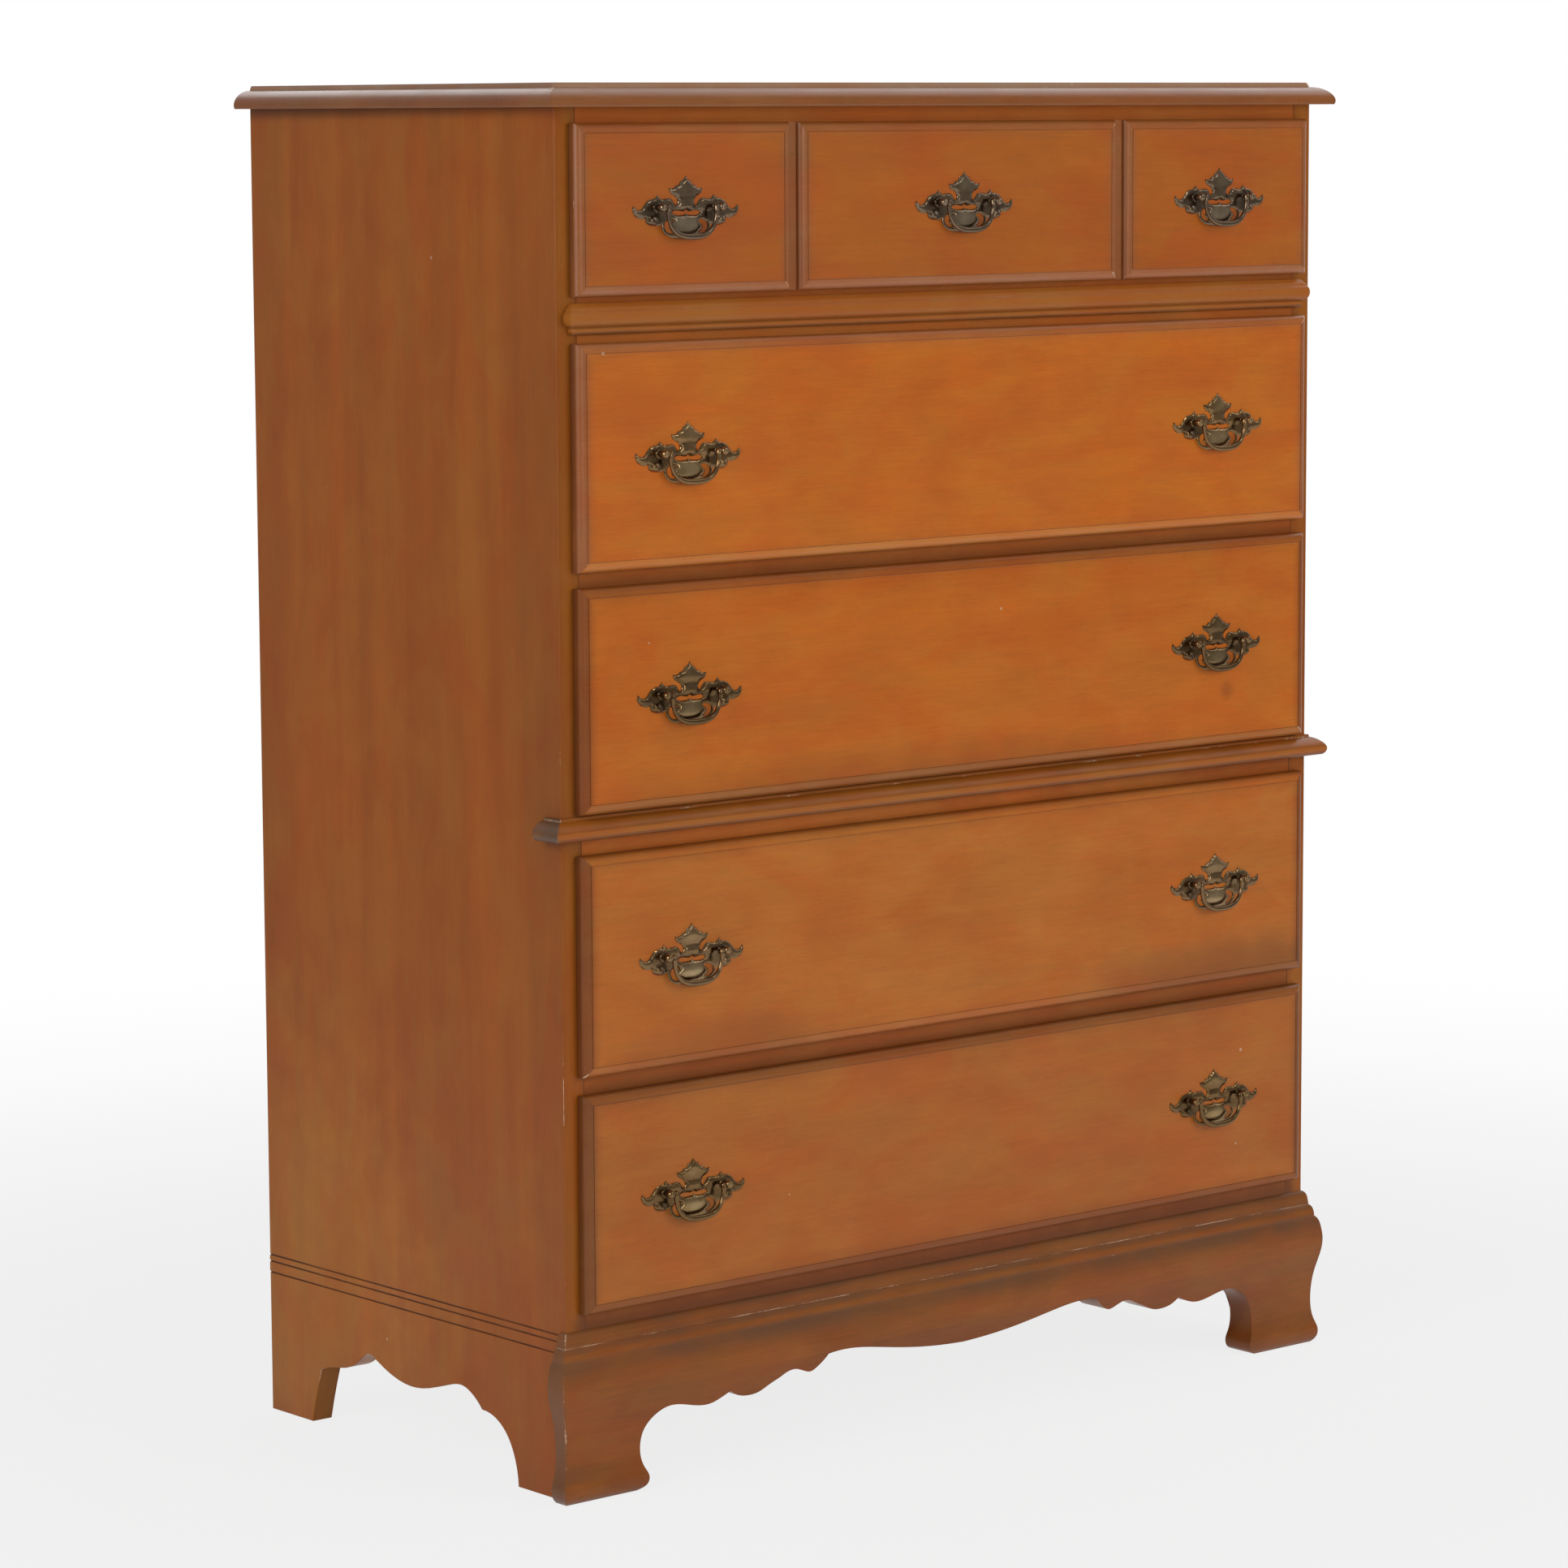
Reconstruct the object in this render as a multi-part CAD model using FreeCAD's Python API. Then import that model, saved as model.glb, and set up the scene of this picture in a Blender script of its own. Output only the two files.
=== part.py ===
import FreeCAD, Part
import math
import os
from collections import namedtuple

from FreeCAD import Vector

# Tall chest of five full-width drawers on a scalloped bracket base, in millimetres.
# X runs to the right, Y to the back and Z up. While the pieces are made, Y is measured from the
# front edges of the case sides; export() then moves all of them onto the centre of the footprint.

# Case
case_width = 887.0
case_depth = 435.0
side_thickness = 21.0
top_thickness = 20.0
top_projection = 17.0
rail_depth = 22.0
tenon_length = 9.0
tenon_shoulder = 4.0
runner_width = 22.0
rear_rail_thickness = 18.0
rear_top_rail_height = 40.0
rear_bottom_rail_drop = 20.0
back_thickness = 5.0
back_inset = 3.0
back_rabbet = 10.0

# Heights of the drawer fronts and of what shows of the rails between them, from the base up
base_height = 146.5
base_reveal = 14.0
lower_front_height = 187.5
lower_reveal = 15.5
waist_reveal = 34.5
upper_front_height = 189.5
upper_reveal = 13.0
bead_reveal = 38.5
top_front_height = 142.3
top_reveal = 13.0

# Base board and the scribed lines that carry its beads round the sides
base_projection = 14.7
base_return = 7.0
base_thickness = 21.0
scribe_width = 1.6
scribe_depth = 1.0
glue_block_leg = 30.0
glue_block_height = 42.0

# Applied mouldings
waist_projection = 15.0
waist_height = 18.6
waist_return = 20.0
waist_drop = 1.9
bead_projection = 10.0
bead_height = 26.0
bead_drop = 5.5
bead_end_margin = 18.0

# Drawer fronts
lip_overlap = 8.7
lip_overhang = 4.0
lip_depth = 4.8
lip_gap = 0.5
field_proud = 11.5
ovolo_radius = 6.0
ovolo_width = 8.5
field_quirk = 0.9
front_block = 12.0
side_panel_width = 234.2
valley_width = 9.8

# Drawer boxes
run_gap = 0.3
drop_gap = 2.0
guide_gap = 1.5
box_side = 12.0
box_back = 11.0
box_bottom = 5.0
bottom_rise = 9.0
bottom_groove = 6.0
back_dado = 4.0
side_drop = 10.0
box_rear_gap = 12.0
tail_pitch = 42.0

# Pulls
pull_from_side = 130.0
pull_rise = 1.0
post_spacing = 64.0
plate_half_width = 57.0
plate_rise = 26.0
plate_thickness = 1.6
pivot_standoff = 9.5
ball_radius = 3.6
neck_radius = 2.6
collar_radius = 4.6
collar_height = 1.8
shank_radius = 2.0
shank_gap = 0.15
nut_width = 8.0
nut_thickness = 3.2
shank_tail = 2.0
pin_radius = 1.5
pin_gap = 0.08
pin_overrun = 0.8
bail_gap = 0.4
leg_radius = 1.9
grip_radius = 3.2
bail_drop = 24.5

# Nails through the back panel
nail_radius = 1.2
nail_head_radius = 3.2
nail_head_height = 1.2
nail_length = 22.0

overrun = 5.0

# Counts
side_nails = 7
rail_nails = 5
bail_sections = 15

# Profiles: each stretch is a line or a smooth curve through its points, from the top down.
# A point is a share of the projection and a share of the height.
top_edge_shares = (
    ((-0.12, 1.0), (-0.06, 0.90), (-0.02, 0.79)),
    ((-0.02, 0.79), (0.36, 0.75), (0.70, 0.60), (0.92, 0.39), (1.0, 0.14), (0.95, 0.0)),
)
base_profile_shares = (
    ((0.0, 1.0), (0.22, 0.98), (0.34, 0.937)),
    ((0.34, 0.937), (0.55, 0.912), (0.67, 0.868)),
    ((0.67, 0.868), (0.88, 0.79), (1.0, 0.71), (0.93, 0.62), (0.64, 0.48), (0.47, 0.34),
     (0.47, 0.245), (0.63, 0.15), (0.80, 0.095), (0.76, 0.04), (0.48, 0.0)),
)
waist_profile_shares = (
    ((0.17, 1.0), (0.20, 0.885)),
    ((0.20, 0.885), (0.49, 0.80), (0.74, 0.66), (0.92, 0.51), (1.0, 0.34), (0.94, 0.13),
     (0.78, 0.0)),
)
bead_profile_shares = (
    ((0.26, 1.0), (0.26, 0.91)),
    ((0.26, 0.91), (0.33, 0.79), (0.55, 0.71)),
    ((0.55, 0.71), (0.86, 0.63), (1.0, 0.42), (0.82, 0.26), (0.40, 0.20)),
    ((0.40, 0.20), (0.52, 0.10), (0.30, 0.0)),
)
scribe_height_shares = (0.978, 0.937, 0.868)

# Lower edge of the base board, from just below the floor at the left foot to the middle: a share of
# half the case width, measured from the case side, and a share of the base height.
base_edge_shares = (
    ((0.143, -0.02), (0.156, 0.0), (0.174, 0.027), (0.179, 0.082), (0.172, 0.13), (0.166, 0.19),
     (0.166, 0.27), (0.174, 0.35), (0.198, 0.425), (0.235, 0.468), (0.266, 0.461), (0.313, 0.43),
     (0.343, 0.43), (0.366, 0.452), (0.388, 0.482)),
    ((0.388, 0.482), (0.408, 0.445), (0.435, 0.43), (0.462, 0.438), (0.488, 0.472), (0.514, 0.505),
     (0.534, 0.532), (0.553, 0.535), (0.573, 0.515), (0.593, 0.50), (0.610, 0.525), (0.634, 0.592)),
    ((0.634, 0.592), (0.676, 0.60), (0.762, 0.57), (0.866, 0.518), (1.0, 0.486)),
)

# Lower edge of a side, from the front foot to the back: a share of the case depth and a share of
# the base height.
side_edge_shares = (
    ((0.158, 0.0), (0.176, 0.212), (0.198, 0.305), (0.238, 0.380), (0.274, 0.396)),
    ((0.274, 0.396), (0.301, 0.464), (0.338, 0.507), (0.389, 0.482), (0.453, 0.427), (0.497, 0.407),
     (0.543, 0.416), (0.586, 0.450), (0.630, 0.505)),
    ((0.630, 0.505), (0.660, 0.525), (0.697, 0.45), (0.740, 0.396), (0.791, 0.372), (0.821, 0.341)),
    ((0.821, 0.341), (0.836, 0.21), (0.856, 0.0)),
)

# Right half of a pull's plate, from the finial down to the middle of its lower rim: a share of the
# plate's half width and a share of its rise above the posts. Then the right half of each piercing.
plate_edge_shares = (
    ((0.0, 1.0), (0.045, 0.88), (0.10, 0.83)),
    ((0.10, 0.83), (0.13, 0.72), (0.18, 0.70)),
    ((0.18, 0.70), (0.23, 0.61), (0.316, 0.615)),
    ((0.316, 0.615), (0.28, 0.44), (0.19, 0.33), (0.155, 0.20), (0.192, 0.04)),
    ((0.192, 0.04), (0.228, 0.15), (0.28, 0.27), (0.35, 0.285), (0.447, 0.255)),
    ((0.447, 0.255), (0.495, 0.31), (0.533, 0.40)),
    ((0.533, 0.40), (0.57, 0.31), (0.63, 0.27), (0.716, 0.215), (0.795, 0.04), (0.86, -0.07),
     (0.92, -0.055), (0.982, 0.058)),
    ((0.982, 0.058), (1.0, -0.06), (0.965, -0.23), (0.89, -0.33), (0.80, -0.355), (0.745, -0.325)),
    ((0.745, -0.325), (0.755, -0.44), (0.684, -0.555), (0.609, -0.585), (0.526, -0.575),
     (0.474, -0.53)),
    ((0.474, -0.53), (0.462, -0.74), (0.37, -0.90), (0.21, -0.98), (0.0, -1.0)),
)
kidney_shares = (
    ((0.0, -0.11), (0.05, -0.055), (0.16, -0.075), (0.235, -0.19), (0.20, -0.31), (0.10, -0.28),
     (0.0, -0.235)),
)
crescent_shares = (
    ((0.272, -0.42), (0.35, -0.42), (0.41, -0.54), (0.395, -0.70), (0.307, -0.82), (0.228, -0.79)),
    ((0.228, -0.79), (0.30, -0.72), (0.333, -0.615), (0.307, -0.52), (0.272, -0.42)),
)

# A dovetail's width at its root and its tip, as shares of the pitch
tail_root_share = 0.52
tail_tip_share = 0.74

# How square the bail's bow is: a power of its sine and cosine, 1 for an ellipse
bow_share = 0.75

# Places that follow from the sizes
half_width = case_width / 2
inner_half = half_width - side_thickness
lip_half = inner_half + lip_overlap
box_half = inner_half - guide_gap
lip_front = -lip_gap - lip_depth
box_rear = case_depth - back_inset - back_thickness - rear_rail_thickness - box_rear_gap
back_front = case_depth - back_inset - back_thickness
rear_rail_front = back_front - rear_rail_thickness
pivot_depth = -field_proud - pivot_standoff
front_reach = field_proud + pivot_standoff + ball_radius
footprint_shift = (front_reach - case_depth) / 2
leg_half = post_spacing / 2 - ball_radius - bail_gap - leg_radius

Drawer = namedtuple("Drawer", "name low high panels pulls")


def stack_drawers():
    """The five drawer fronts from the bottom up, with the spans of their panels and their pulls' places."""
    whole = ((-lip_half, lip_half),)
    inner = lip_half - side_panel_width
    thirds = ((-lip_half, -inner), (-inner + valley_width, inner - valley_width), (inner, lip_half))
    pair = (pull_from_side - half_width, half_width - pull_from_side)
    trio = tuple((left + right) / 2 for left, right in thirds)
    rows = (
        ("drawer_5", base_reveal, lower_front_height, whole, pair),
        ("drawer_4", lower_reveal, lower_front_height, whole, pair),
        ("drawer_3", waist_reveal, upper_front_height, whole, pair),
        ("drawer_2", upper_reveal, upper_front_height, whole, pair),
        ("drawer_1", bead_reveal, top_front_height, thirds, trio),
    )
    stacked = []
    level = base_height
    for name, reveal, height, panels, pulls in rows:
        low = level + reveal
        level = low + height
        stacked.append(Drawer(name, low, level, panels, pulls))
    return stacked


drawers = stack_drawers()
case_height = drawers[-1].high + top_reveal


def slab(x0, x1, y0, y1, z0, z1):
    """Block between two corners."""
    return Part.makeBox(x1 - x0, y1 - y0, z1 - z0, Vector(x0, y0, z0))


def curve(points):
    """Straight edge through two points, or a smooth one through more."""
    if len(points) == 2:
        return Part.makeLine(points[0], points[1])
    spline = Part.BSplineCurve()
    spline.interpolate(points)
    return spline.toShape()


def stretches(shares, place):
    """Edges of an outline whose points place() sets in space."""
    return [curve([place(a, b) for a, b in stretch]) for stretch in shares]


def backwards(shares):
    """The same outline walked from its far end."""
    return tuple(tuple(reversed(stretch)) for stretch in reversed(shares))


def polyline(points):
    """Straight edges from point to point, leaving out any without length."""
    pairs = zip(points, points[1:])
    return [Part.makeLine(a, b) for a, b in pairs if a.distanceToPoint(b) > Part.Precision.confusion()]


def closed_wire(edges, corners=()):
    """Loop of edges laid head to tail, closed through the given corners."""
    closing = polyline((edges[-1].Vertexes[-1].Point, *corners, edges[0].Vertexes[0].Point))
    return Part.Wire([*edges, *closing])


def closed_face(edges, corners=()):
    """Flat face inside such a loop."""
    return Part.Face(closed_wire(edges, corners))


def moulding(shares, projection, low, height, half_length, run, backing):
    """Profile swept across the front and, mitred at the corners, a run back along both ends.

    It is as thick behind the faces that it stands on as backing says. Its four sections stand at the
    two back ends and in the two mitres.
    """

    def section(side, mitre):
        def place(reach, level):
            return Vector(side * (half_length + reach), -reach if mitre else run, low + level)

        def profile(a, b):
            return place(a * projection, b * height)

        return closed_wire(stretches(shares, profile), (place(-backing, 0), place(-backing, height)))

    sections = [section(-1, False), section(-1, True), section(1, True), section(1, False)]
    return Part.makeLoft(sections, True, True)


def top_panel():
    """Top board, moulded on three edges and flush at the back."""
    edge = moulding(
        top_edge_shares, top_projection, case_height, top_thickness, half_width, case_depth, side_thickness
    )
    lap = side_thickness / 2
    reach = half_width - lap
    field = slab(-reach, reach, lap, case_depth, case_height, case_height + top_thickness)
    return edge.fuse(field).removeSplitter()


def base_board():
    """Front of the base: moulded, returned round the case sides and scalloped between its two feet."""
    board = moulding(base_profile_shares, base_projection, 0, base_height, half_width, base_return, 0)
    body = slab(-half_width, half_width, 0, base_return, 0, base_height)
    tongue = slab(-inner_half, inner_half, 0, base_thickness, 0, base_height)

    def left(a, b):
        return Vector((a - 1) * half_width, -base_projection - overrun, b * base_height)

    def right(a, b):
        return Vector((1 - a) * half_width, -base_projection - overrun, b * base_height)

    arch = closed_face([*stretches(base_edge_shares, left), *stretches(backwards(base_edge_shares), right)])
    cut = arch.extrude(Vector(0, base_projection + base_thickness + 2 * overrun, 0))
    return board.fuse([body, tongue]).removeSplitter().cut(cut)


def bead_moulding():
    """Applied bead under the top drawer, returned onto the case front at both ends."""
    low = drawers[-1].low - bead_drop - bead_height
    half_length = half_width - bead_end_margin
    strip = moulding(bead_profile_shares, bead_projection, low, bead_height, half_length, overrun, 0)
    behind = slab(-case_width, case_width, 0, case_depth, 0, case_height)
    return strip.cut(behind)


def waist_moulding():
    """Applied moulding at mid height that runs a short way round both sides."""
    low = drawers[2].low - waist_drop - waist_height
    return moulding(waist_profile_shares, waist_projection, low, waist_height, half_width, waist_return, 0)


def rail(low, high):
    """Front rail with a stub tenon at each end."""
    body = slab(-inner_half, inner_half, 0, rail_depth, low, high)
    reach = inner_half + tenon_length
    back = rail_depth - tenon_shoulder
    tenon = slab(-reach, reach, tenon_shoulder, back, low + tenon_shoulder, high - tenon_shoulder)
    return body.fuse(tenon).removeSplitter()


def rail_spans():
    """Heights of the bottom rail, the four dividers and the top rail."""
    edges = [base_height]
    for drawer in drawers:
        edges += [drawer.low + lip_overhang, drawer.high - lip_overhang]
    edges.append(case_height)
    return list(zip(edges[::2], edges[1::2]))


def runners():
    """Strips on the case sides behind each rail: they carry the drawers and keep them from tipping."""
    inner = inner_half - runner_width
    strips = []
    for low, high in rail_spans():
        strips.append(slab(-inner_half, -inner, rail_depth, rear_rail_front, low, high))
        strips.append(slab(inner, inner_half, rail_depth, rear_rail_front, low, high))
    return strips


def rear_rails():
    """Rails across the back, behind the drawers."""
    spans = (
        (base_height - rear_bottom_rail_drop, rail_spans()[0][1]),
        (case_height - rear_top_rail_height, case_height),
    )
    return [slab(-inner_half, inner_half, rear_rail_front, back_front, low, high) for low, high in spans]


def glue_blocks():
    """Triangular blocks in the four corners of the base."""
    blocks = []
    front = (base_thickness, glue_block_leg, base_height)
    rear = (back_front, -glue_block_leg, base_height - rear_bottom_rail_drop)
    for hand in (-1, 1):
        wall = hand * inner_half
        inner = wall - hand * glue_block_leg
        for depth, reach, top in (front, rear):
            low = top - glue_block_height
            corners = [Vector(wall, depth, low), Vector(inner, depth, low), Vector(wall, depth + reach, low)]
            face = Part.Face(Part.makePolygon([*corners, corners[0]]))
            blocks.append(face.extrude(Vector(0, 0, glue_block_height)))
    return blocks


def back_panel():
    """Thin panel let into rabbets in the case sides."""
    reach = inner_half + back_rabbet
    low = base_height - rear_bottom_rail_drop
    return slab(-reach, reach, back_front, back_front + back_thickness, low, case_height)


def nail(x, z):
    """Nail driven from behind through the back panel."""
    surface = back_front + back_thickness
    shank = Part.makeCylinder(nail_radius, nail_length, Vector(x, surface, z), Vector(0, -1, 0))
    head = Part.makeCylinder(nail_head_radius, nail_head_height, Vector(x, surface, z), Vector(0, 1, 0))
    return shank.fuse(head)


def nails():
    """Nails down both rabbets and along both rear rails."""
    column = inner_half + back_rabbet / 2
    bottom = rear_rails()[0].BoundBox
    top = rear_rails()[1].BoundBox
    rows = ((bottom.ZMin + bottom.ZMax) / 2, (top.ZMin + top.ZMax) / 2)
    places = []
    for i in range(side_nails):
        z = rows[0] + (rows[1] - rows[0]) * i / (side_nails - 1)
        places += [(-column, z), (column, z)]
    for i in range(rail_nails):
        x = -column + 2 * column * (i + 1) / (rail_nails + 1)
        places += [(x, rows[0]), (x, rows[1])]
    return [nail(x, z) for x, z in places]


def case_side(hand, housed):
    """Case side that runs to the floor, scalloped and scribed, and cut for the pieces housed in it."""
    wall = slab(*sorted((hand * inner_half, hand * half_width)), 0, case_depth, 0, case_height)

    def edge(a, b):
        return Vector(-case_width, a * case_depth, b * base_height)

    edges = stretches(side_edge_shares, edge)
    drop = Vector(0, 0, -overrun)
    arch = closed_face(edges, (edges[-1].Vertexes[-1].Point + drop, edges[0].Vertexes[0].Point + drop))
    cuts = [arch.extrude(Vector(2 * case_width, 0, 0))]
    span = sorted((hand * (half_width - scribe_depth), hand * (half_width + overrun)))
    for share in scribe_height_shares:
        low = share * base_height - scribe_width / 2
        cuts.append(slab(*span, base_return, case_depth + overrun, low, low + scribe_width))
    return wall.cut(cuts).cut(housed)


def drawer_side(drawer, hand):
    """Drawer side with dovetail tails at its front end."""
    x0, x1 = sorted((hand * (box_half - box_side), hand * box_half))
    low, high = box_span(drawer)
    plank = slab(x0, x1, front_block, box_rear, low, high)
    count = max(2, round((high - low) / tail_pitch))
    pitch = (high - low) / count
    root = pitch * tail_root_share / 2
    tip = pitch * tail_tip_share / 2
    tails = []
    for i in range(count):
        z = low + pitch * (i + 0.5)
        corners = [
            Vector(x0, front_block, z - root),
            Vector(x0, -lip_gap, z - tip),
            Vector(x0, -lip_gap, z + tip),
            Vector(x0, front_block, z + root),
        ]
        face = Part.Face(Part.makePolygon([*corners, corners[0]]))
        tails.append(face.extrude(Vector(x1 - x0, 0, 0)))
    return plank.fuse(tails).removeSplitter()


def box_span(drawer):
    """Lowest and highest level of a drawer's sides."""
    return drawer.low + lip_overhang + run_gap, drawer.high - lip_overhang - drop_gap - side_drop


def drawer_bottom(drawer):
    """Thin bottom, grooved into the front and both sides, that runs out under the back."""
    reach = box_half - box_side + bottom_groove
    low = box_span(drawer)[0] + bottom_rise
    return slab(-reach, reach, front_block - bottom_groove, box_rear, low, low + box_bottom)


def drawer_back(drawer):
    """Drawer back, housed in both sides, that stands on the bottom."""
    reach = box_half - box_side + back_dado
    low, high = box_span(drawer)
    return slab(-reach, reach, box_rear - box_back, box_rear, low + bottom_rise + box_bottom, high)


def panel_rise(left, right, low, high):
    """Raised panel of a drawer front: a flat field inside a rounded edge."""
    crest = -field_proud + field_quirk
    edge = slab(left, right, crest, -lip_gap, low, high)
    rim = [e for e in edge.Edges if e.BoundBox.YMax < crest + Part.Precision.confusion()]
    inside = (left + ovolo_width, right - ovolo_width)
    field = slab(*inside, -field_proud, -lip_gap, low + ovolo_width, high - ovolo_width)
    return [edge.makeFillet(ovolo_radius, rim), field]


def drawer_front(drawer, sides, bottom):
    """Lipped front with its moulded panels, cut for the tails, the bottom and the pulls."""
    lip = slab(-lip_half, lip_half, lip_front, -lip_gap, drawer.low, drawer.high)
    block_low = drawer.low + lip_overhang + run_gap
    block_high = drawer.high - lip_overhang - drop_gap
    block = slab(-box_half, box_half, -lip_gap, front_block, block_low, block_high)
    risen = []
    for left, right in drawer.panels:
        risen += panel_rise(left, right, drawer.low, drawer.high)
    front = lip.fuse([block, *risen]).removeSplitter()
    bore = Part.makeCylinder(
        shank_radius + shank_gap,
        field_proud + front_block + 2 * overrun,
        Vector(0, -field_proud - overrun, 0),
        Vector(0, 1, 0),
    )
    holes = [moved(bore, x, 0, z) for x, z in post_places(drawer)]
    return front.cut([*sides, bottom, *holes])


def pull_level(drawer):
    """Height of a drawer's posts, a little above its middle."""
    return (drawer.low + drawer.high) / 2 + pull_rise


def post_places(drawer):
    """X and Z of every post on a drawer."""
    half = post_spacing / 2
    return [(x + side * half, pull_level(drawer)) for x in drawer.pulls for side in (-1, 1)]


def backplate():
    """Pierced willow plate centred on its posts, with its back on the plane Y = 0."""

    def right(a, b):
        return Vector(a * plate_half_width, 0, b * plate_rise)

    def left(a, b):
        return Vector(-a * plate_half_width, 0, b * plate_rise)

    def both(shares):
        return closed_face([*stretches(shares, right), *stretches(backwards(shares), left)])

    forward = Vector(0, -plate_thickness, 0)
    plate = both(plate_edge_shares).extrude(forward)
    piercings = [both(kidney_shares)]
    piercings += [closed_face(stretches(crescent_shares, place)) for place in (left, right)]
    cuts = [face.extrude(forward) for face in piercings]
    for side in (-1, 1):
        start = Vector(side * post_spacing / 2, 0, 0)
        cuts.append(Part.makeCylinder(shank_radius + shank_gap, plate_thickness, start, Vector(0, -1, 0)))
    return plate.cut(cuts)


def post():
    """Threaded post with a collar and a ball head bored for the bail's pin, standing on the plane Y = 0."""
    back = Vector(0, 1, 0)
    tail = field_proud + front_block + nut_thickness + shank_tail
    collar_front = -plate_thickness - collar_height
    shank = Part.makeCylinder(shank_radius, tail + plate_thickness, Vector(0, -plate_thickness, 0), back)
    collar = Part.makeCylinder(collar_radius, collar_height, Vector(0, collar_front, 0), back)
    neck = Part.makeCylinder(neck_radius, pivot_standoff + collar_front, Vector(0, -pivot_standoff, 0), back)
    ball = Part.makeSphere(ball_radius, Vector(0, -pivot_standoff, 0))
    across = Vector(-collar_radius, -pivot_standoff, 0)
    eye = Part.makeCylinder(pin_radius + pin_gap, 2 * collar_radius, across, Vector(1, 0, 0))
    return shank.fuse([collar, neck, ball]).removeSplitter().cut(eye)


def nut():
    """Hexagonal nut seated on the inside of a drawer front, for a post on the plane Y = 0."""
    seat = field_proud + front_block
    radius = nut_width / math.sqrt(3)
    corners = []
    for i in range(6):
        angle = math.pi * i / 3
        corners.append(Vector(radius * math.cos(angle), seat, radius * math.sin(angle)))
    body = Part.Face(Part.makePolygon([*corners, corners[0]])).extrude(Vector(0, nut_thickness, 0))
    bore = Part.makeCylinder(shank_radius + shank_gap / 2, nut_thickness, Vector(0, seat, 0), Vector(0, 1, 0))
    return body.cut(bore)


def bail():
    """Drop handle about its pivot: two legs, a grip that swells to the middle, and a pin out of each leg."""
    rings = []
    for i in range(bail_sections + 1):
        angle = math.pi * i / bail_sections
        x = -leg_half * math.copysign(abs(math.cos(angle)) ** bow_share, math.cos(angle))
        z = -bail_drop * math.sin(angle) ** bow_share
        radius = leg_radius + (grip_radius - leg_radius) * math.sin(angle) ** 2
        rings.append((Vector(x, 0, z), radius))
    rings[0] = (Vector(-leg_half, 0, leg_radius), leg_radius)
    rings[-1] = (Vector(leg_half, 0, leg_radius), leg_radius)
    wires = []
    for i, (centre, radius) in enumerate(rings):
        before = rings[max(i - 1, 0)][0]
        after = rings[min(i + 1, bail_sections)][0]
        direction = Vector(0, 0, 1) if i in (0, bail_sections) else after - before
        wires.append(Part.Wire(Part.makeCircle(radius, centre, direction)))
    loop = Part.makeLoft(wires, True, False)
    reach = post_spacing / 2 + ball_radius + pin_overrun - leg_half
    pins = [
        Part.makeCylinder(pin_radius, reach, Vector(side * leg_half, 0, 0), Vector(side, 0, 0))
        for side in (-1, 1)
    ]
    return loop.fuse(pins).removeSplitter()


def moved(shape, x, y, z):
    """Copy of a shape carried to a place."""
    copy = shape.copy()
    copy.translate(Vector(x, y, z))
    return copy


def export(name, *solids):
    """Writes one node, carried onto the centre of the footprint."""
    shape = solids[0] if len(solids) == 1 else Part.makeCompound(list(solids))
    moved(shape, 0, footprint_shift, 0).exportStep(os.path.join("parts", name + ".step"))


def export_case():
    """Writes the pieces that stand still."""
    spans = rail_spans()
    rails = [rail(low, high) for low, high in spans]
    base = base_board()
    back = back_panel()
    nail_set = nails()
    housed = [*rails, base, back, *nail_set]
    export("top_panel", top_panel())
    export("left_side", case_side(-1, housed))
    export("right_side", case_side(1, housed))
    export("back_panel", back.cut(nail_set))
    export("bottom_rail", rails[0])
    export("divider_rails", *rails[1:-1])
    export("top_rail", rails[-1])
    export("bead_moulding", bead_moulding())
    export("waist_moulding", waist_moulding())
    export("base_front", base)
    export("drawer_runners", *runners())
    export("rear_rails", *[piece.cut(nail_set) for piece in rear_rails()])
    export("glue_blocks", *glue_blocks())
    export("back_panel_nails", *nail_set)


def export_drawer(drawer):
    """Writes one drawer box."""
    sides = [drawer_side(drawer, hand) for hand in (-1, 1)]
    bottom = drawer_bottom(drawer)
    back = drawer_back(drawer)
    export(drawer.name + "_front", drawer_front(drawer, sides, bottom))
    export(drawer.name + "_left_side", sides[0].cut([bottom, back]))
    export(drawer.name + "_right_side", sides[1].cut([bottom, back]))
    export(drawer.name + "_bottom", bottom)
    export(drawer.name + "_back", back)


def export_pulls(drawer):
    """Writes a drawer's plates, its posts with their nuts, and each bail."""
    plate = backplate()
    level = pull_level(drawer)
    export(drawer.name + "_plates", *[moved(plate, x, -field_proud, level) for x in drawer.pulls])
    places = post_places(drawer)
    pieces = [moved(piece, x, -field_proud, z) for piece in (post(), nut()) for x, z in places]
    export(drawer.name + "_posts", *pieces)
    names = ("left", "middle", "right") if len(drawer.pulls) > 2 else ("left", "right")
    for side, x in zip(names, drawer.pulls):
        export(drawer.name + "_bail_" + side, moved(bail(), x, pivot_depth, level))


def main():
    """Builds and writes every node."""
    os.makedirs("parts", exist_ok=True)
    export_case()
    for drawer in drawers:
        export_drawer(drawer)
        export_pulls(drawer)


main()
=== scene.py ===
"""Tall chest of drawers on a scalloped base: its boards, drawer fronts, pulls and finishes.

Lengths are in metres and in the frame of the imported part: X to the right, Y to the back, Z up.
"""

import logging
import math
from dataclasses import dataclass, field, replace
from enum import Enum
from typing import Callable, Iterable, Sequence

import bmesh
import bpy
import numpy as np
from mathutils import Matrix, Vector
from mathutils.geometry import delaunay_2d_cdt


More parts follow.
